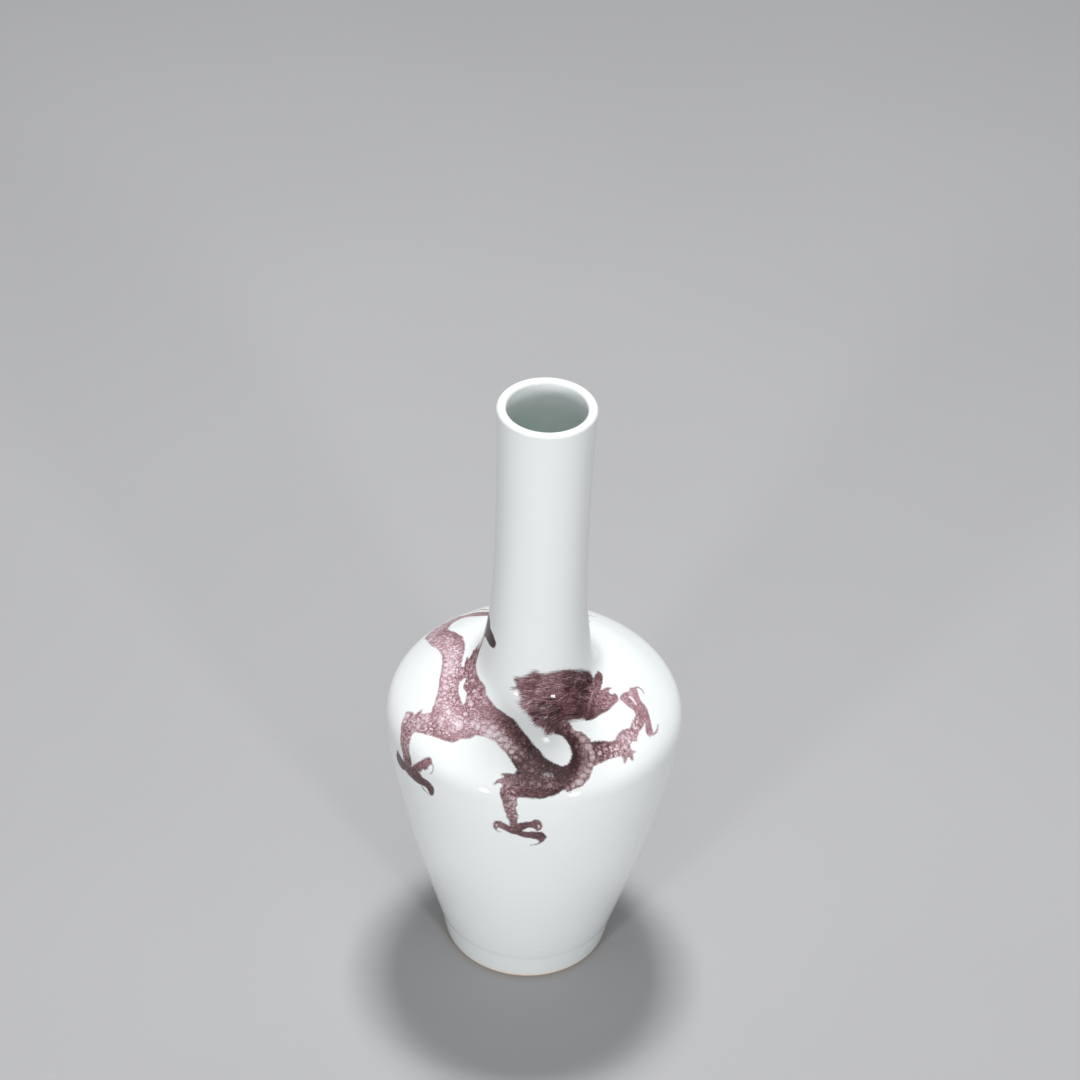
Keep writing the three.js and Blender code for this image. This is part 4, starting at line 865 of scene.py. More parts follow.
def lathe(name, runs, cols, u_stops, materials):
    """A closed skin of revolution with its own exact normals, a flat map of its own, and the painting's fields."""
    th = np.radians(cols)
    nc = len(th)
    ring_start, verts, verts_s = [], [], []
    rings = []                              # each ring: (indices or single pole, r)
    first_ring = None
    loops_v, loops_n, loops_uv, face_mat = [], [], [], []
    lengths = [np.concatenate([[0], np.cumsum(np.hypot(*np.diff(q["p"], axis=0).T))]) for q in runs]
    weights = [q.get("weight", 1.0) * ln[-1] for q, ln in zip(runs, lengths)]
    total = sum(weights)
    v0 = 0.004
    ucols = np.interp(np.append(cols, 180.0), [a for a, b in u_stops], [b for a, b in u_stops]) * 0.992 + 0.004
    co, ink_th, ink_s = [], [], []
    count = 0

    def ring(p, s):
        nonlocal count
        if p[0] < 1e-9:
            co.append(np.array([[0, 0, p[1]]]))
            ink_th.append(np.zeros(1)); ink_s.append(np.full(1, np.nan))
            idx = np.full(nc, count)
            count += 1
            return idx, True
        r = np.full(nc, p[0])
        if s is not None:
            r = r + ripple(np.full(nc, s), th)
        co.append(np.stack([r * np.sin(th), -r * np.cos(th), np.full(nc, p[1])], 1))
        ink_th.append(th); ink_s.append(np.full(nc, np.nan if s is None else s))
        idx = count + np.arange(nc)
        count += nc
        return idx, False

    start = None
    prev = None
    for k, (q, ln, w) in enumerate(zip(runs, lengths, weights)):
        n = len(q["p"])
        vv = v0 + (np.array(ln) / ln[-1]) * (w / total) * 0.992
        v0 = vv[-1]
        rows = []
        for i in range(n):
            if i == 0 and prev is not None and not q.get("jump"):
                rows.append(prev)
            elif i == n - 1 and k == len(runs) - 1 and start is not None and q["p"][i][0] > 1e-9:
                rows.append(start)
            else:
                # a ring on the outer wall keeps its ripple where an edge run meets it
                s = q["outer"][i] if q["outer"] is not None else q.get("s_end", {}).get(i)
                rows.append(ring(q["p"][i], s))
            if start is None:
                start = rows[0]
        prev = rows[-1]
        # normals for this stretch, per ring and column
        nr = np.repeat(q["n"][:, :1], nc, 1)
        nz = np.repeat(q["n"][:, 1:], nc, 1)
        nt = np.zeros((n, nc))
        if q["outer"] is not None:
            s = q["outer"][:, None] + np.zeros((1, nc))
            tt = th[None, :] + np.zeros((n, 1))
            e = 0.02
            rs = (ripple(s + e, tt) - ripple(s - e, tt)) / (2 * e)
            rt_ = (ripple(s, tt + 1e-3) - ripple(s, tt - 1e-3)) / 2e-3
            zs_, rs0 = nr.copy(), -nz.copy()
            rr = q["p"][:, :1]
            nr, nz, nt = zs_, -(rs0 + rs), -(rt_ / rr) * zs_
        ln3 = np.sqrt(nr**2 + nz**2 + nt**2)
        nr, nz, nt = nr / ln3, nz / ln3, nt / ln3
        NX = nr * np.sin(th) + nt * np.cos(th)
        NY = -nr * np.cos(th) + nt * np.sin(th)
        N = np.stack([NX, NY, nz], -1)
        for i in range(n - 1):
            (a, pa), (b, pb) = rows[i], rows[i + 1]
            j0, j1 = np.arange(nc), (np.arange(nc) + 1) % nc
            u0, u1 = ucols[:-1], ucols[1:]
            if pb:
                f = np.stack([a[j0], a[j1], b[j0]], 1)
                uv = np.stack([np.stack([u0, np.full(nc, vv[i])], 1), np.stack([u1, np.full(nc, vv[i])], 1), np.stack([(u0 + u1) / 2, np.full(nc, vv[i + 1])], 1)], 1)
                nn = np.stack([N[i, j0], N[i, j1], N[i + 1, j0]], 1)
            elif pa:
                f = np.stack([a[j0], b[j1], b[j0]], 1)
                uv = np.stack([np.stack([(u0 + u1) / 2, np.full(nc, vv[i])], 1), np.stack([u1, np.full(nc, vv[i + 1])], 1), np.stack([u0, np.full(nc, vv[i + 1])], 1)], 1)
                nn = np.stack([N[i, j0], N[i + 1, j1], N[i + 1, j0]], 1)
            else:
                f = np.stack([a[j0], a[j1], b[j1], b[j0]], 1)
                uv = np.stack([np.stack([u0, np.full(nc, vv[i])], 1), np.stack([u1, np.full(nc, vv[i])], 1), np.stack([u1, np.full(nc, vv[i + 1])], 1), np.stack([u0, np.full(nc, vv[i + 1])], 1)], 1)
                nn = np.stack([N[i, j0], N[i, j1], N[i + 1, j1], N[i + 1, j0]], 1)
            loops_v.append(f); loops_uv.append(uv); loops_n.append(nn)
            face_mat.append(np.full(nc, q["mat"]))
    co = np.concatenate(co) * MM
    me = bpy.data.meshes.new(name)
    me.vertices.add(len(co))
    me.vertices.foreach_set("co", co.astype(np.float32).ravel())
    sizes = np.concatenate([np.full(len(f), f.shape[1]) for f in loops_v])
    flat = np.concatenate([f.ravel() for f in loops_v])
    me.loops.add(len(flat))
    me.loops.foreach_set("vertex_index", flat.astype(np.int32))
    me.polygons.add(len(sizes))
    me.polygons.foreach_set("loop_start", np.concatenate([[0], np.cumsum(sizes)[:-1]]).astype(np.int32))
    me.polygons.foreach_set("material_index", np.concatenate(face_mat).astype(np.int32))
    me.polygons.foreach_set("use_smooth", np.ones(len(sizes), bool))
    me.update(calc_edges=True)
    uvl = me.uv_layers.new(name="OFBake")
    uvl.data.foreach_set("uv", np.concatenate([q.reshape(-1, 2) for q in loops_uv]).astype(np.float32).ravel())
    t, s = np.concatenate(ink_th), np.concatenate(ink_s)
    fields = {k: np.full(len(t), UNSET.get(k, 0.0)) for k in FIELDS}
    ok = np.where(~np.isnan(s))[0]
    # the chart runs from -215 to +145 degrees, so that the tail behind the neck is unbroken
    tw = np.where(t[ok] > math.radians(145), t[ok] - 2 * math.pi, t[ok])
    got = paint(tw, s[ok])
    for k in FIELDS:
        fields[k][ok] = got[k]
        a = me.attributes.new(k, "FLOAT", "POINT")
        a.data.foreach_set("value", fields[k].astype(np.float32))
    for mt in materials:
        me.materials.append(mt)
    me.validate(clean_customdata=False)
    nrm = np.concatenate([q.reshape(-1, 3) for q in loops_n])
    me.normals_split_custom_set([tuple(v) for v in nrm])
    ob = bpy.data.objects.new(name, me)
    bpy.context.scene.collection.objects.link(ob)
    print(name, len(co), "vertices", len(sizes), "faces")
    return ob

# ---------------------------------------------------------------- materials


def lin(r, g, b):
    return tuple(((c / 255) / 12.92 if c / 255 <= 0.04045 else ((c / 255 + 0.055) / 1.055) ** 2.4) for c in (r, g, b)) + (1.0,)


class Net:
    """Small helper that strings shader nodes together."""

    def __init__(self, name):
        self.mat = bpy.data.materials.new(name)
        self.mat.use_nodes = True
        self.nt = self.mat.node_tree
        self.nt.nodes.clear()
        self.out = self.nt.nodes.new("ShaderNodeOutputMaterial")
        self.bsdf = self.nt.nodes.new("ShaderNodeBsdfPrincipled")
        self.nt.links.new(self.bsdf.outputs[0], self.out.inputs[0])
        self._obj = None

    def put(self, sock, v):
        if isinstance(v, bpy.types.NodeSocket):
            self.nt.links.new(v, sock)
        elif v is not None:
            sock.default_value = v

    def math(self, op, a, b=None, c=None, clamp=False):
        n = self.nt.nodes.new("ShaderNodeMath")
        n.operation, n.use_clamp = op, clamp
        for i, v in enumerate((a, b, c)):
            if v is not None:
                self.put(n.inputs[i], v)
        return n.outputs[0]

    def add(self, a, b): return self.math("ADD", a, b)
    def sub(self, a, b): return self.math("SUBTRACT", a, b)
    def mul(self, a, b): return self.math("MULTIPLY", a, b)

    def attr(self, name):
        n = self.nt.nodes.new("ShaderNodeAttribute")
        n.attribute_name = name
        return n.outputs["Fac"]

    def step(self, x, lo, hi, a=0.0, b=1.0):
        n = self.nt.nodes.new("ShaderNodeMapRange")
        n.interpolation_type = "SMOOTHSTEP"
        for i, v in enumerate((x, lo, hi, a, b)):
            self.put(n.inputs[i], v)
        return n.outputs[0]

    def obj(self):
        if self._obj is None:
            self._obj = self.nt.nodes.new("ShaderNodeTexCoord").outputs["Object"]
        return self._obj

    def z(self):
        n = self.nt.nodes.new("ShaderNodeSeparateXYZ")
        self.put(n.inputs[0], self.obj())
        return n.outputs[2]

    def xyz(self, x, y, z=0.0):
        n = self.nt.nodes.new("ShaderNodeCombineXYZ")
        for i, v in enumerate((x, y, z)):
            self.put(n.inputs[i], v)
        return n.outputs[0]

    def noise(self, vec, scale, detail=2.0, rough=0.5, dims="3D"):
        n = self.nt.nodes.new("ShaderNodeTexNoise")
        n.noise_dimensions = dims
        self.put(n.inputs["Vector"], vec)
        n.inputs["Scale"].default_value, n.inputs["Detail"].default_value, n.inputs["Roughness"].default_value = scale, detail, rough
        return n.outputs[0]

    def voronoi(self, vec, scale, rnd=1.0, feature="F1", dims="2D"):
        n = self.nt.nodes.new("ShaderNodeTexVoronoi")
        n.voronoi_dimensions, n.feature = dims, feature
        self.put(n.inputs["Vector"], vec)
        n.inputs["Scale"].default_value, n.inputs["Randomness"].default_value = scale, rnd
        return n

    def mix(self, f, a, b):
        n = self.nt.nodes.new("ShaderNodeMix")
        n.data_type = "RGBA"
        self.put(n.inputs[0], f); self.put(n.inputs[6], a); self.put(n.inputs[7], b)
        return n.outputs[2]

    def ramp(self, f, stops):
        n = self.nt.nodes.new("ShaderNodeValToRGB")
        e = n.color_ramp.elements
        e[0].position, e[0].color = stops[0]
        e[1].position, e[1].color = stops[-1]
        for p, c in stops[1:-1]:
            x = e.new(p)
            x.color = c
        self.put(n.inputs[0], f)
        return n.outputs[0]

    def bump(self, height, strength, distance):
        n = self.nt.nodes.new("ShaderNodeBump")
        n.inputs["Strength"].default_value, n.inputs["Distance"].default_value = strength, distance
        self.put(n.inputs["Height"], height)
        self.put(self.bsdf.inputs["Normal"], n.outputs[0])


GLAZE = (0.845, 0.872, 0.872, 1.0)


def glaze_surface(net, rough=0.06, coat=0.0, grain=None):
    """The fired glaze: glass over white porcelain, very slightly uneven; grain adds a finer unevenness."""
    b = net.bsdf
    b.inputs["IOR"].default_value = 1.40
    b.inputs["Coat Weight"].default_value = coat
    b.inputs["Coat Roughness"].default_value = 0.03
    b.inputs["Coat IOR"].default_value = 1.5
    r = net.noise(net.obj(), 160, 2.0)
    net.put(b.inputs["Roughness"], net.add(net.mul(r, 0.05), rough - 0.025))
    orange = net.noise(net.obj(), 420, 2.0, 0.45)
    pits = net.voronoi(net.obj(), 330, 1.0, "F1", "3D").outputs["Distance"]
    pit = net.step(pits, 0.02, 0.09)
    height = net.add(orange, net.mul(pit, 0.25))
    net.bump(height if grain is None else net.add(height, grain), 0.25, 0.00006)


def white_glaze(painted=False):
    """Base colour of the plain glaze: cool white, a breath of green where it runs thick, a warm line where it ends."""
    net = Net("white_glaze")
    if painted:
        pebbly = net.mul(net.noise(net.obj(), 1600, 1.0, 0.5), net.step(net.attr("ink"), 0.1, -0.3))
        glaze_surface(net, grain=net.mul(pebbly, 1.2))
    else:
        glaze_surface(net)
    big = net.noise(net.obj(), 22, 2.0)
    col = net.mix(net.step(big, 0.35, 0.65), GLAZE, (0.835, 0.866, 0.872, 1.0))
    foot = net.step(net.z(), 0.0098, 0.0128)
    col = net.mix(foot, (0.815, 0.856, 0.852, 1.0), col)
    pool = net.step(net.math("ABSOLUTE", net.sub(net.z(), 0.0111)), 0.0, 0.0012)
    col = net.mix(pool, (0.80, 0.848, 0.845, 1.0), col)
    ragged = net.mul(net.sub(net.noise(net.obj(), 170, 2.0), 0.5), 0.0012)
    edge = net.step(net.add(net.z(), ragged), 0.0015, 0.0026)
    col = net.mix(edge, (0.90, 0.79, 0.68, 1.0), col)
    dots = net.voronoi(net.obj(), 75, 1.0, "F1", "3D").outputs["Distance"]
    fleck = net.mul(net.step(dots, 0.03, 0.012), net.step(net.noise(net.obj(), 60, 0.0), 0.62, 0.66))
    col = net.mix(net.mul(fleck, 0.35), col, (0.45, 0.40, 0.36, 1.0))
    return net, col


def painted_glaze():
    net, white = white_glaze(True)
    net.mat.name = "underglaze_red_painting"
    O = net.obj()
    A = {k: net.attr(k) for k in FIELDS}
    fine = net.sub(net.noise(O, 2100, 2.0, 0.6), 0.5)
    mid = net.sub(net.noise(O, 760, 2.0, 0.6), 0.5)
    soft = net.sub(net.noise(O, 260, 2.0, 0.5), 0.5)
    # hair direction
    hv, hu = A["hv"], A["hu"]
    wav = net.mul(net.sub(net.noise(net.xyz(net.mul(hu, 0.28), net.mul(hv, 0.5)), 1.0, 1.0, dims="2D"), 0.5), 1.1)
    hvw = net.add(hv, wav)
    strand = net.noise(net.xyz(net.mul(hu, 0.085), net.mul(hvw, 1.55)), 1.0, 1.5, 0.55, "2D")
    strand2 = net.noise(net.xyz(net.mul(hu, 0.16), net.add(net.mul(hvw, 3.1), 40.0)), 1.0, 1.0, 0.5, "2D")
    tips = net.sub(net.noise(net.xyz(net.mul(hu, 0.07), net.mul(hvw, 1.7)), 1.0, 1.0, 0.6, "2D"), 0.5)
    wisps = net.sub(net.noise(net.xyz(net.mul(hu, 0.12), net.mul(hvw, 4.4)), 1.0, 1.0, 0.6, "2D"), 0.5)
    # the edge of the wash: soft and grainy, and feathered into fine wisps along the hair
    speck = net.sub(net.noise(O, 3600, 1.0, 0.5), 0.5)
    edge = net.add(A["ink"], net.add(net.add(net.mul(fine, 1.15), net.mul(speck, 0.6)), net.mul(mid, 0.65)))
    fringe = net.add(net.add(net.mul(tips, 0.9), net.mul(wisps, 2.4)), 0.02)
    edge = net.add(edge, net.mul(A["hair"], fringe))
    mask = net.step(edge, net.add(0.32, net.mul(A["hair"], 0.26)), net.add(-0.40, net.mul(A["hair"], -0.44)))
    # scale spots: rows of soft pale dots, some strong, some lost in the wash
    cell = net.xyz(net.add(net.mul(A["cu"], 0.74), net.add(net.mul(soft, 1.8), net.mul(fine, 1.1))), net.add(net.mul(A["cv"], 0.82), net.add(net.mul(mid, 2.2), net.mul(speck, 1.1))))
    vnode = net.voronoi(cell, 1.0, 0.85)
    vor = vnode.outputs["Distance"]
    chance = net.nt.nodes.new("ShaderNodeSeparateColor")
    net.put(chance.inputs[0], vnode.outputs["Color"])
    eg = net.voronoi(cell, 1.0, 0.85, "DISTANCE_TO_EDGE").outputs["Distance"]
    size = net.add(0.22, net.mul(chance.outputs[1], 0.20))
    spot = net.step(net.sub(net.add(vor, net.add(net.mul(fine, 0.45), net.mul(mid, 0.30))), size), 0.20, -0.25)
    spot = net.mul(spot, net.add(0.30, net.mul(chance.outputs[0], 0.80)))
    rim = net.step(net.add(eg, net.mul(fine, 0.20)), 0.20, 0.0)
    d = A["tone"]
    d = net.sub(d, net.mul(net.sub(spot, 0.26), net.mul(A["spot"], 0.80)))
    d = net.add(d, net.mul(net.sub(rim, 0.30), net.mul(A["spot"], 0.24)))
    # grain of the pigment: many small pale flecks where the wash is thin
    fleck = net.voronoi(O, 1750, 1.0, "F1", "3D").outputs["Distance"]
    fleck = net.step(net.add(fleck, net.mul(mid, 0.5)), 0.42, 0.16)
    thin = net.step(A["tone"], 0.80, 0.30)
    d = net.sub(d, net.mul(net.sub(fleck, 0.30), net.add(0.06, net.mul(thin, 0.12))))
    grainy = net.add(0.55, net.mul(thin, 0.55))
    d = net.add(d, net.mul(net.mul(fine, 0.80), grainy))
    d = net.add(d, net.mul(net.mul(speck, 0.55), grainy))
    d = net.add(d, net.mul(mid, 0.36))
    d = net.add(d, net.mul(soft, 0.20))
    # the noted pale spots, each with a thin darker ring
    deep = net.add(A["dot"], net.add(net.mul(fine, 0.95), net.add(net.mul(mid, 0.8), net.mul(speck, 0.5))))
    m = net.mul(net.step(deep, -0.16, 0.36), A["dots"])
    pale = net.add(0.09, net.add(net.mul(mid, 0.4), net.mul(fine, 0.5)))
    ringed = net.mul(net.step(net.math("ABSOLUTE", net.add(deep, 0.26)), 0.28, 0.0), A["dots"])
    d = net.add(d, net.mul(ringed, 0.15))
    d = net.add(net.mul(d, net.sub(1.0, m)), net.mul(m, pale))
    # hair
    line1 = net.step(net.math("ABSOLUTE", net.sub(strand, 0.5)), 0.060, 0.006)
    line2 = net.step(net.math("ABSOLUTE", net.sub(strand2, 0.5)), 0.055, 0.012)
    fade = net.step(net.noise(net.xyz(net.mul(hu, 0.22), net.mul(hv, 0.8)), 1.0, 1.0, dims="2D"), 0.36, 0.60)
    d = net.sub(d, net.mul(A["hair"], net.add(net.mul(line1, net.mul(fade, 0.22)), net.mul(line2, 0.17))))
    d = net.add(d, net.mul(A["hair"], net.mul(net.sub(strand2, 0.5), 0.50)))
    thread = net.step(net.add(net.math("ABSOLUTE", A["lineside"]), net.mul(fine, 0.20)), 0.28, 0.03)
    thread = net.mul(thread, net.step(mid, -0.16, 0.10))
    thread = net.mul(thread, net.step(A["line"], 0.42, 0.24))
    d = net.sub(d, net.mul(thread, net.add(0.20, net.mul(A["hair"], 0.13))))
    # brush outlines and scraped lines
    dk = net.step(net.add(A["dark"], net.mul(fine, 0.3)), 0.20, -0.14)
    d = net.add(d, net.mul(dk, 0.12))
    lt = net.step(net.add(A["lite"], net.mul(fine, 0.15)), 0.10, -0.14)
    d = net.mul(d, net.sub(1.0, net.mul(lt, 0.9)))
    rimline = net.step(net.math("ABSOLUTE", net.add(edge, 0.34)), 0.34, 0.0)
    d = net.add(d, net.mul(rimline, net.mul(net.sub(1.0, A["hair"]), 0.07)))
    d = net.math("MINIMUM", net.math("MAXIMUM", d, 0.0), 1.0)
    pig = net.mix(net.mul(A["grey"], 0.68), net.ramp(d, INK_ROSE), net.ramp(d, INK_GREY))
    col = net.mix(mask, white, pig)
    net.put(net.bsdf.inputs["Base Color"], col)
    return net.mat


# the fired copper wash from thin to thick: rose where it stayed bright, grey-brown where it dulled
INK_ROSE = [
    (0.00, (0.828, 0.740, 0.788, 1)), (0.12, (0.707, 0.561, 0.617, 1)), (0.24, (0.596, 0.427, 0.480, 1)),
    (0.36, (0.485, 0.306, 0.347, 1)), (0.48, (0.374, 0.218, 0.245, 1)), (0.60, (0.271, 0.147, 0.166, 1)),
    (0.72, (0.180, 0.087, 0.098, 1)), (0.84, (0.104, 0.048, 0.053, 1)), (1.00, (0.042, 0.019, 0.022, 1)),
]
INK_GREY = [
    (0.00, (0.780, 0.770, 0.750, 1)), (0.12, (0.625, 0.595, 0.575, 1)), (0.24, (0.515, 0.470, 0.455, 1)),
    (0.36, (0.415, 0.360, 0.345, 1)), (0.48, (0.318, 0.256, 0.245, 1)), (0.60, (0.232, 0.172, 0.166, 1)),
    (0.72, (0.156, 0.104, 0.100, 1)), (0.84, (0.094, 0.056, 0.055, 1)), (1.00, (0.041, 0.021, 0.022, 1)),
]


def plain(name, colour, second, rough, coat=0.0, scale=40):
    net = Net(name)
    n = net.noise(net.obj(), scale, 3.0)
    net.put(net.bsdf.inputs["Base Color"], net.mix(net.step(n, 0.3, 0.7), colour, second))
    return net, n


painted = painted_glaze()
net, col = white_glaze()
net.put(net.bsdf.inputs["Base Color"], col)
glaze = net.mat
net = Net("glaze_inside")
glaze_surface(net, 0.12)
n = net.noise(net.obj(), 30, 2.0)
# inside the neck: a greenish tint where the glaze runs thick, darkened further as painted shade for the shadowed bore;
# it turns to the plain white glaze from z 199 to 206 mm, just under the lip
green_tint_and_bore_shade = net.mix(net.step(n, 0.3, 0.7), (0.67, 0.745, 0.715, 1), (0.63, 0.71, 0.68, 1))
net.put(net.bsdf.inputs["Base Color"], net.mix(net.step(net.z(), 0.1990, 0.2058), green_tint_and_bore_shade, GLAZE))
glaze_in = net.mat
# fired bare body: fine grain, warm flashing next to the glaze edge
net = Net("biscuit_foot")
grain = net.noise(net.obj(), 1500, 3.0, 0.65)
patch = net.noise(net.obj(), 120, 2.0)
base = net.mix(net.step(patch, 0.3, 0.7), (0.78, 0.70, 0.60, 1), (0.72, 0.63, 0.51, 1))
flash = net.step(net.z(), 0.0003, 0.0012)
base = net.mix(net.mul(flash, 0.35), base, (0.62, 0.42, 0.26, 1))
base = net.mix(net.mul(net.step(grain, 0.55, 0.75), 0.35), base, (0.42, 0.34, 0.26, 1))
net.put(net.bsdf.inputs["Base Color"], base)
net.put(net.bsdf.inputs["Roughness"], net.add(net.mul(grain, 0.2), 0.62))
net.bump(grain, 0.5, 0.00008)
biscuit = net.mat
net = Net("fired_slip")
grain = net.noise(net.obj(), 900, 3.0, 0.6)
net.put(net.bsdf.inputs["Base Color"], net.mix(net.step(grain, 0.35, 0.65), (0.62, 0.66, 0.63, 1), (0.55, 0.60, 0.57, 1)))
net.put(net.bsdf.inputs["Roughness"], net.add(net.mul(grain, 0.2), 0.30))
net.bump(grain, 0.4, 0.00008)
slip_mat = net.mat

# ---------------------------------------------------------------- the skins
DENSE, MED, WIDE = 0.40, 0.60, 2.0
cols_shoulder = columns([(-180, -158, 0.8), (-158, -118, 0.5), (-118, 82, DENSE), (82, 146, WIDE), (146, 180, 0.8)])
cols_low = columns([(-180, -68, 1.6), (-68, 14, DENSE), (14, 180, 1.6)])
cols_neck = columns([(-180, 180, 1.0)])
u_shoulder = [(-180, 0.0), (-152, 0.045), (-118, 0.12), (82, 0.93), (180, 1.0)]
u_low = [(-180, 0.0), (-68, 0.14), (14, 0.80), (180, 1.0)]
u_neck = [(-180, 0.0), (-130, 0.07), (90, 0.90), (180, 1.0)]


def inner_down(z1, z0, step):
    z = np.linspace(z1, z0, max(2, int(round((z1 - z0) / step)) + 1))
    return [(float(inner_r(v)), float(v)) for v in z]


def W(run, weight):
    run["weight"] = weight
    return run


def J(run):
    run["jump"] = True
    return run


rb, rtop = float(np.interp(at_z(Z_BELLY), CS, CR)), float(np.interp(at_z(Z_NECK + SLIP), CS, CR))
r7 = float(np.interp(at_z(Z_FOOT), CS, CR))
r13 = float(np.interp(at_z(1.3), CS, CR))
GL, PT, IN, BI = 0, 1, 2, 3
mats = [glaze, painted, glaze_in, biscuit]
s7, s65, s88 = float(at_z(Z_FOOT)), float(at_z(74.0)), float(at_z(Z_BELLY))
s_nk, s_mid, s_top = float(at_z(Z_NECK + SLIP)), float(at_z(134.0)), float(at_z(208.55))

low = [
    W(run_wall(Z_FOOT, 74.0, 0, GL, spaced([(s7, 0.35), (s7 + 6, 0.35), (s7 + 9, 0.6), (s65, 0.6)])), 1.0),
    W(run_wall(74.0, Z_BELLY, 0, PT, spaced([(s65, 0.35), (s88, 0.28)])), 3.2),
    W(run_arc([(rb, Z_BELLY), (float(inner_r(Z_BELLY)), Z_BELLY)], BI), 0.5),
    W(run_arc(inner_down(Z_BELLY, 21.0, 4.0) + [(25.0, 16.6), (22.4, 13.6), (18.5, 12.1), (11.0, 12.0), (0.0, 12.0)], IN), 0.35),
    W(J(run_arc([(0.0, Z_FOOT), (10.0, Z_FOOT), (21.6, Z_FOOT), (r7, Z_FOOT)], GL)), 0.3),
]
skin_low = lathe("lower_body_skin", low, cols_low, u_low, mats)

sh = [
    W(run_wall(Z_BELLY, Z_NECK + SLIP, 0, PT, spaced([(s88, 0.28), (s_nk, 0.27)])), 3.0),
    W(run_arc([(rtop, 114.6), (rtop - 0.9, 114.6)], BI), 0.5),
    W(run_arc([(rtop - 0.9, 114.6), (rtop - 0.9, 114.0)], BI), 0.5),
    W(run_arc([(rtop - 0.9, 114.0), (float(inner_r(114.0)), 114.0)], BI), 0.5),
    W(run_arc(inner_down(114.0, 88.8, 0.8), IN), 0.25),
    W(run_arc([(float(inner_r(88.8)), 88.8), (rb - 0.9, 88.8)], BI), 0.5),
    W(run_arc([(rb - 0.9, 88.8), (rb - 0.9, 88.2)], BI), 0.5),
    W(run_arc([(rb - 0.9, 88.2), (rb, 88.2)], BI), 0.5),
]
skin_sh = lathe("shoulder_skin", sh, cols_shoulder, u_shoulder, mats)

lip = []
for k in range(0, 25):
    a = math.pi * k / 24
    lip.append((13.19 + 1.45 * math.cos(a), 208.55 + 1.45 * math.sin(a)))
lip[0] = (float(np.interp(s_top, CS, CR)), 208.55)
nk = [
    W(run_wall(114.6, 134.0, 0, PT, spaced([(s_nk, 0.27), (s_mid, 0.30)])), 2.6),
    W(run_wall(134.0, 144.0, 0, PT, spaced([(s_mid, 0.30), (float(at_z(144.0)), 0.45)])), 1.8),
    W(run_wall(144.0, 208.55, 0, GL, spaced([(float(at_z(144.0)), 0.6), (float(at_z(150.0)), 1.3), (s_top, 1.3)])), 0.5),
    W(run_arc(lip, GL), 1.2),
    W(run_arc([(11.74, 208.55)] + inner_down(207.0, 114.6, 2.0), IN), 0.25),
    W(run_arc([(float(inner_r(114.6)), 114.6), (rtop, 114.6)], BI), 0.4),
]
skin_nk = lathe("neck_skin", nk, cols_neck, u_neck, mats)

ft = [
    W(run_wall(1.3, Z_FOOT, 0, GL, spaced([(float(at_z(1.3)), 0.3), (s7, 0.35)])), 2.0),
    W(run_arc([(r7, Z_FOOT), (21.6, Z_FOOT)], BI), 0.4),
    W(run_arc([(21.6, Z_FOOT), (21.8, 5.4), (22.0, 3.4), (22.2, 1.5)], GL), 1.0),
    W(run_arc([(22.2, 1.5), (22.27, 1.42), (22.32, 1.25), (22.4, 0.75), (22.65, 0.32), (23.05, 0.06), (23.4, 0.0)], BI), 1.0),
    W(run_arc([(23.4, 0.0), (24.3, 0.0), (25.2, 0.0)], BI), 1.0),
    W(run_arc([(25.2, 0.0), (25.56, 0.07), (25.97, 0.36), (26.3, 0.8), (26.4, 1.12), (26.46, 1.24), (r13, 1.3)], BI), 1.5),
]
skin_ft = lathe("foot_ring_skin", ft, columns([(-180, 180, 1.5)]), [(-180, 0.0), (180, 1.0)], mats)


def slip_ring(name, z0, z1, r_in, r_out):
    mid, pts = (z0 + z1) / 2, []
    for k in range(0, 13):
        a = math.pi * k / 12
        pts.append((r_in - 0.7 * math.sin(a), mid + (z1 - z0) / 2 * math.cos(a)))
    runs = [
        run_arc([(r_out, z0), (r_out, z1)], 0), run_arc([(r_out, z1), (r_in, z1)], 0),
        run_arc(pts, 0), run_arc([(r_in, z0), (r_out, z0)], 0),
    ]
    return lathe(name, runs, columns([(-180, 180, 2.0)]), [(-180, 0.0), (180, 1.0)], [slip_mat])


slip_b = slip_ring("belly_slip_ring", 88.22, 88.78, float(inner_r(88.5)), rb - 0.92)
slip_n = slip_ring("neck_slip_ring", 114.02, 114.58, float(inner_r(114.3)), rtop - 0.92)

for piece, node, slot in (
    (skin_low, "lower_body", "white_glaze"), (skin_sh, "shoulder", "underglaze_red"), (skin_nk, "neck", "white_glaze"),
    (skin_ft, "foot_ring", "biscuit_foot"), (slip_b, "belly_luting_slip", "fired_slip"), (slip_n, "neck_luting_slip", "fired_slip"),
):
    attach(piece, "root")
    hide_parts(node)

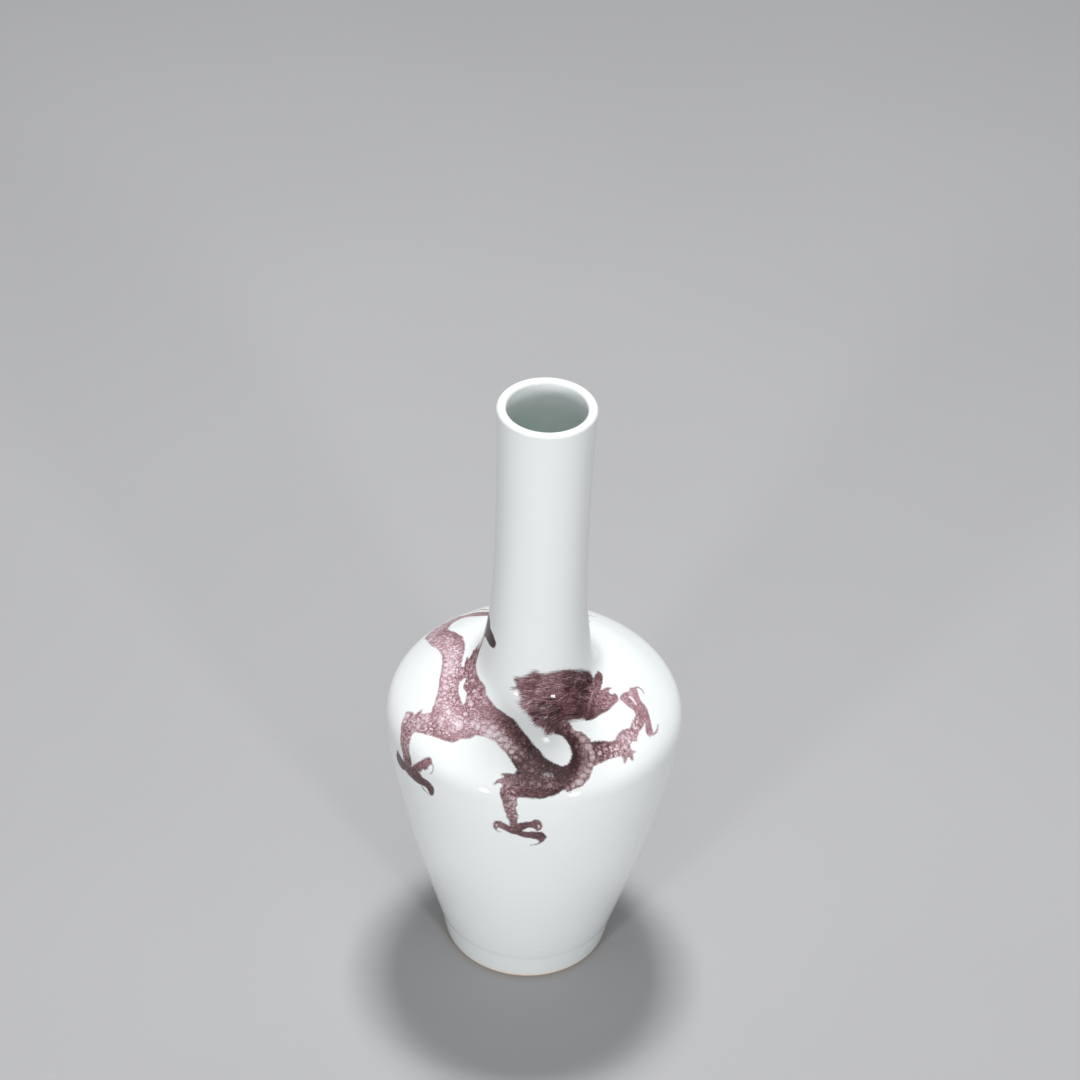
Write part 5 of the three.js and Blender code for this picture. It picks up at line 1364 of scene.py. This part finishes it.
# ---------------------------------------------------------------- floor, light
net = Net("floor_paper")
n = net.noise(net.obj(), 3.0, 3.0)
net.put(net.bsdf.inputs["Base Color"], net.mix(net.step(n, 0.3, 0.7), (0.44, 0.44, 0.448, 1), (0.42, 0.42, 0.43, 1)))
net.bsdf.inputs["Roughness"].default_value = 0.85
net.bsdf.inputs["Specular IOR Level"].default_value = 0.2
fm = bpy.data.meshes.new("floor")
fm.from_pydata([(-4, -4, 0), (4, -4, 0), (4, 4, 0), (-4, 4, 0)], [], [(0, 1, 2, 3)])
fm.materials.append(net.mat)
floor = bpy.data.objects.new("floor", fm)
floor.location.z = -0.00002
bpy.context.scene.collection.objects.link(floor)


def lamp(name, direction, dist, size, power, target=(0, 0, 0.1), shape="RECTANGLE", size_y=None, colour=(1, 1, 1), spec=1.0, diffuse=1.0):
    az, el = map(math.radians, direction)
    p = Vector(target) + dist * Vector((math.sin(az) * math.cos(el), -math.cos(az) * math.cos(el), math.sin(el)))
    d = bpy.data.lights.new(name, "AREA")
    d.shape, d.size, d.energy, d.color = shape, size, power, colour
    if size_y:
        d.size_y = size_y
    d.specular_factor, d.diffuse_factor = spec, diffuse
    o = bpy.data.objects.new(name, d)
    o.location = p
    o.rotation_euler = (Vector(target) - p).to_track_quat("-Z", "Y").to_euler()
    o.visible_camera = False
    bpy.context.scene.collection.objects.link(o)
    return o


scene = bpy.context.scene
scene.view_settings.view_transform = "Standard"
scene.view_settings.look = "None"
WORLD_COLOUR, WORLD_STRENGTH = (0.95, 0.98, 1.0), 0.20
# a soft box overhead, a little behind; two round soft lamps low in front, which leave the glints; a broad weak fill
lamp("overhead_box", (180, 75), 1.15, 0.22, 12.0, size_y=0.18)
lamp("front_left", (-32, 12.0), 1.3, 0.14, 5.5, size_y=0.21, shape="ELLIPSE")
lamp("front_right", (30, 14.0), 1.3, 0.14, 5.1, size_y=0.21, shape="ELLIPSE")
lamp("small_high", (17, 59), 1.3, 0.10, 0.24, size_y=0.065)
lamp("small_top", (105, 84.5), 1.3, 0.10, 0.19, size_y=0.06)
lamp("broad_fill", (0, 60), 1.6, 1.2, 3.0, size_y=1.2)

world = bpy.context.scene.world or bpy.data.worlds.new("world")
bpy.context.scene.world = world
world.use_nodes = True
bg = world.node_tree.nodes.get("Background")
bg.inputs[0].default_value = (*WORLD_COLOUR, 1)
bg.inputs[1].default_value = WORLD_STRENGTH
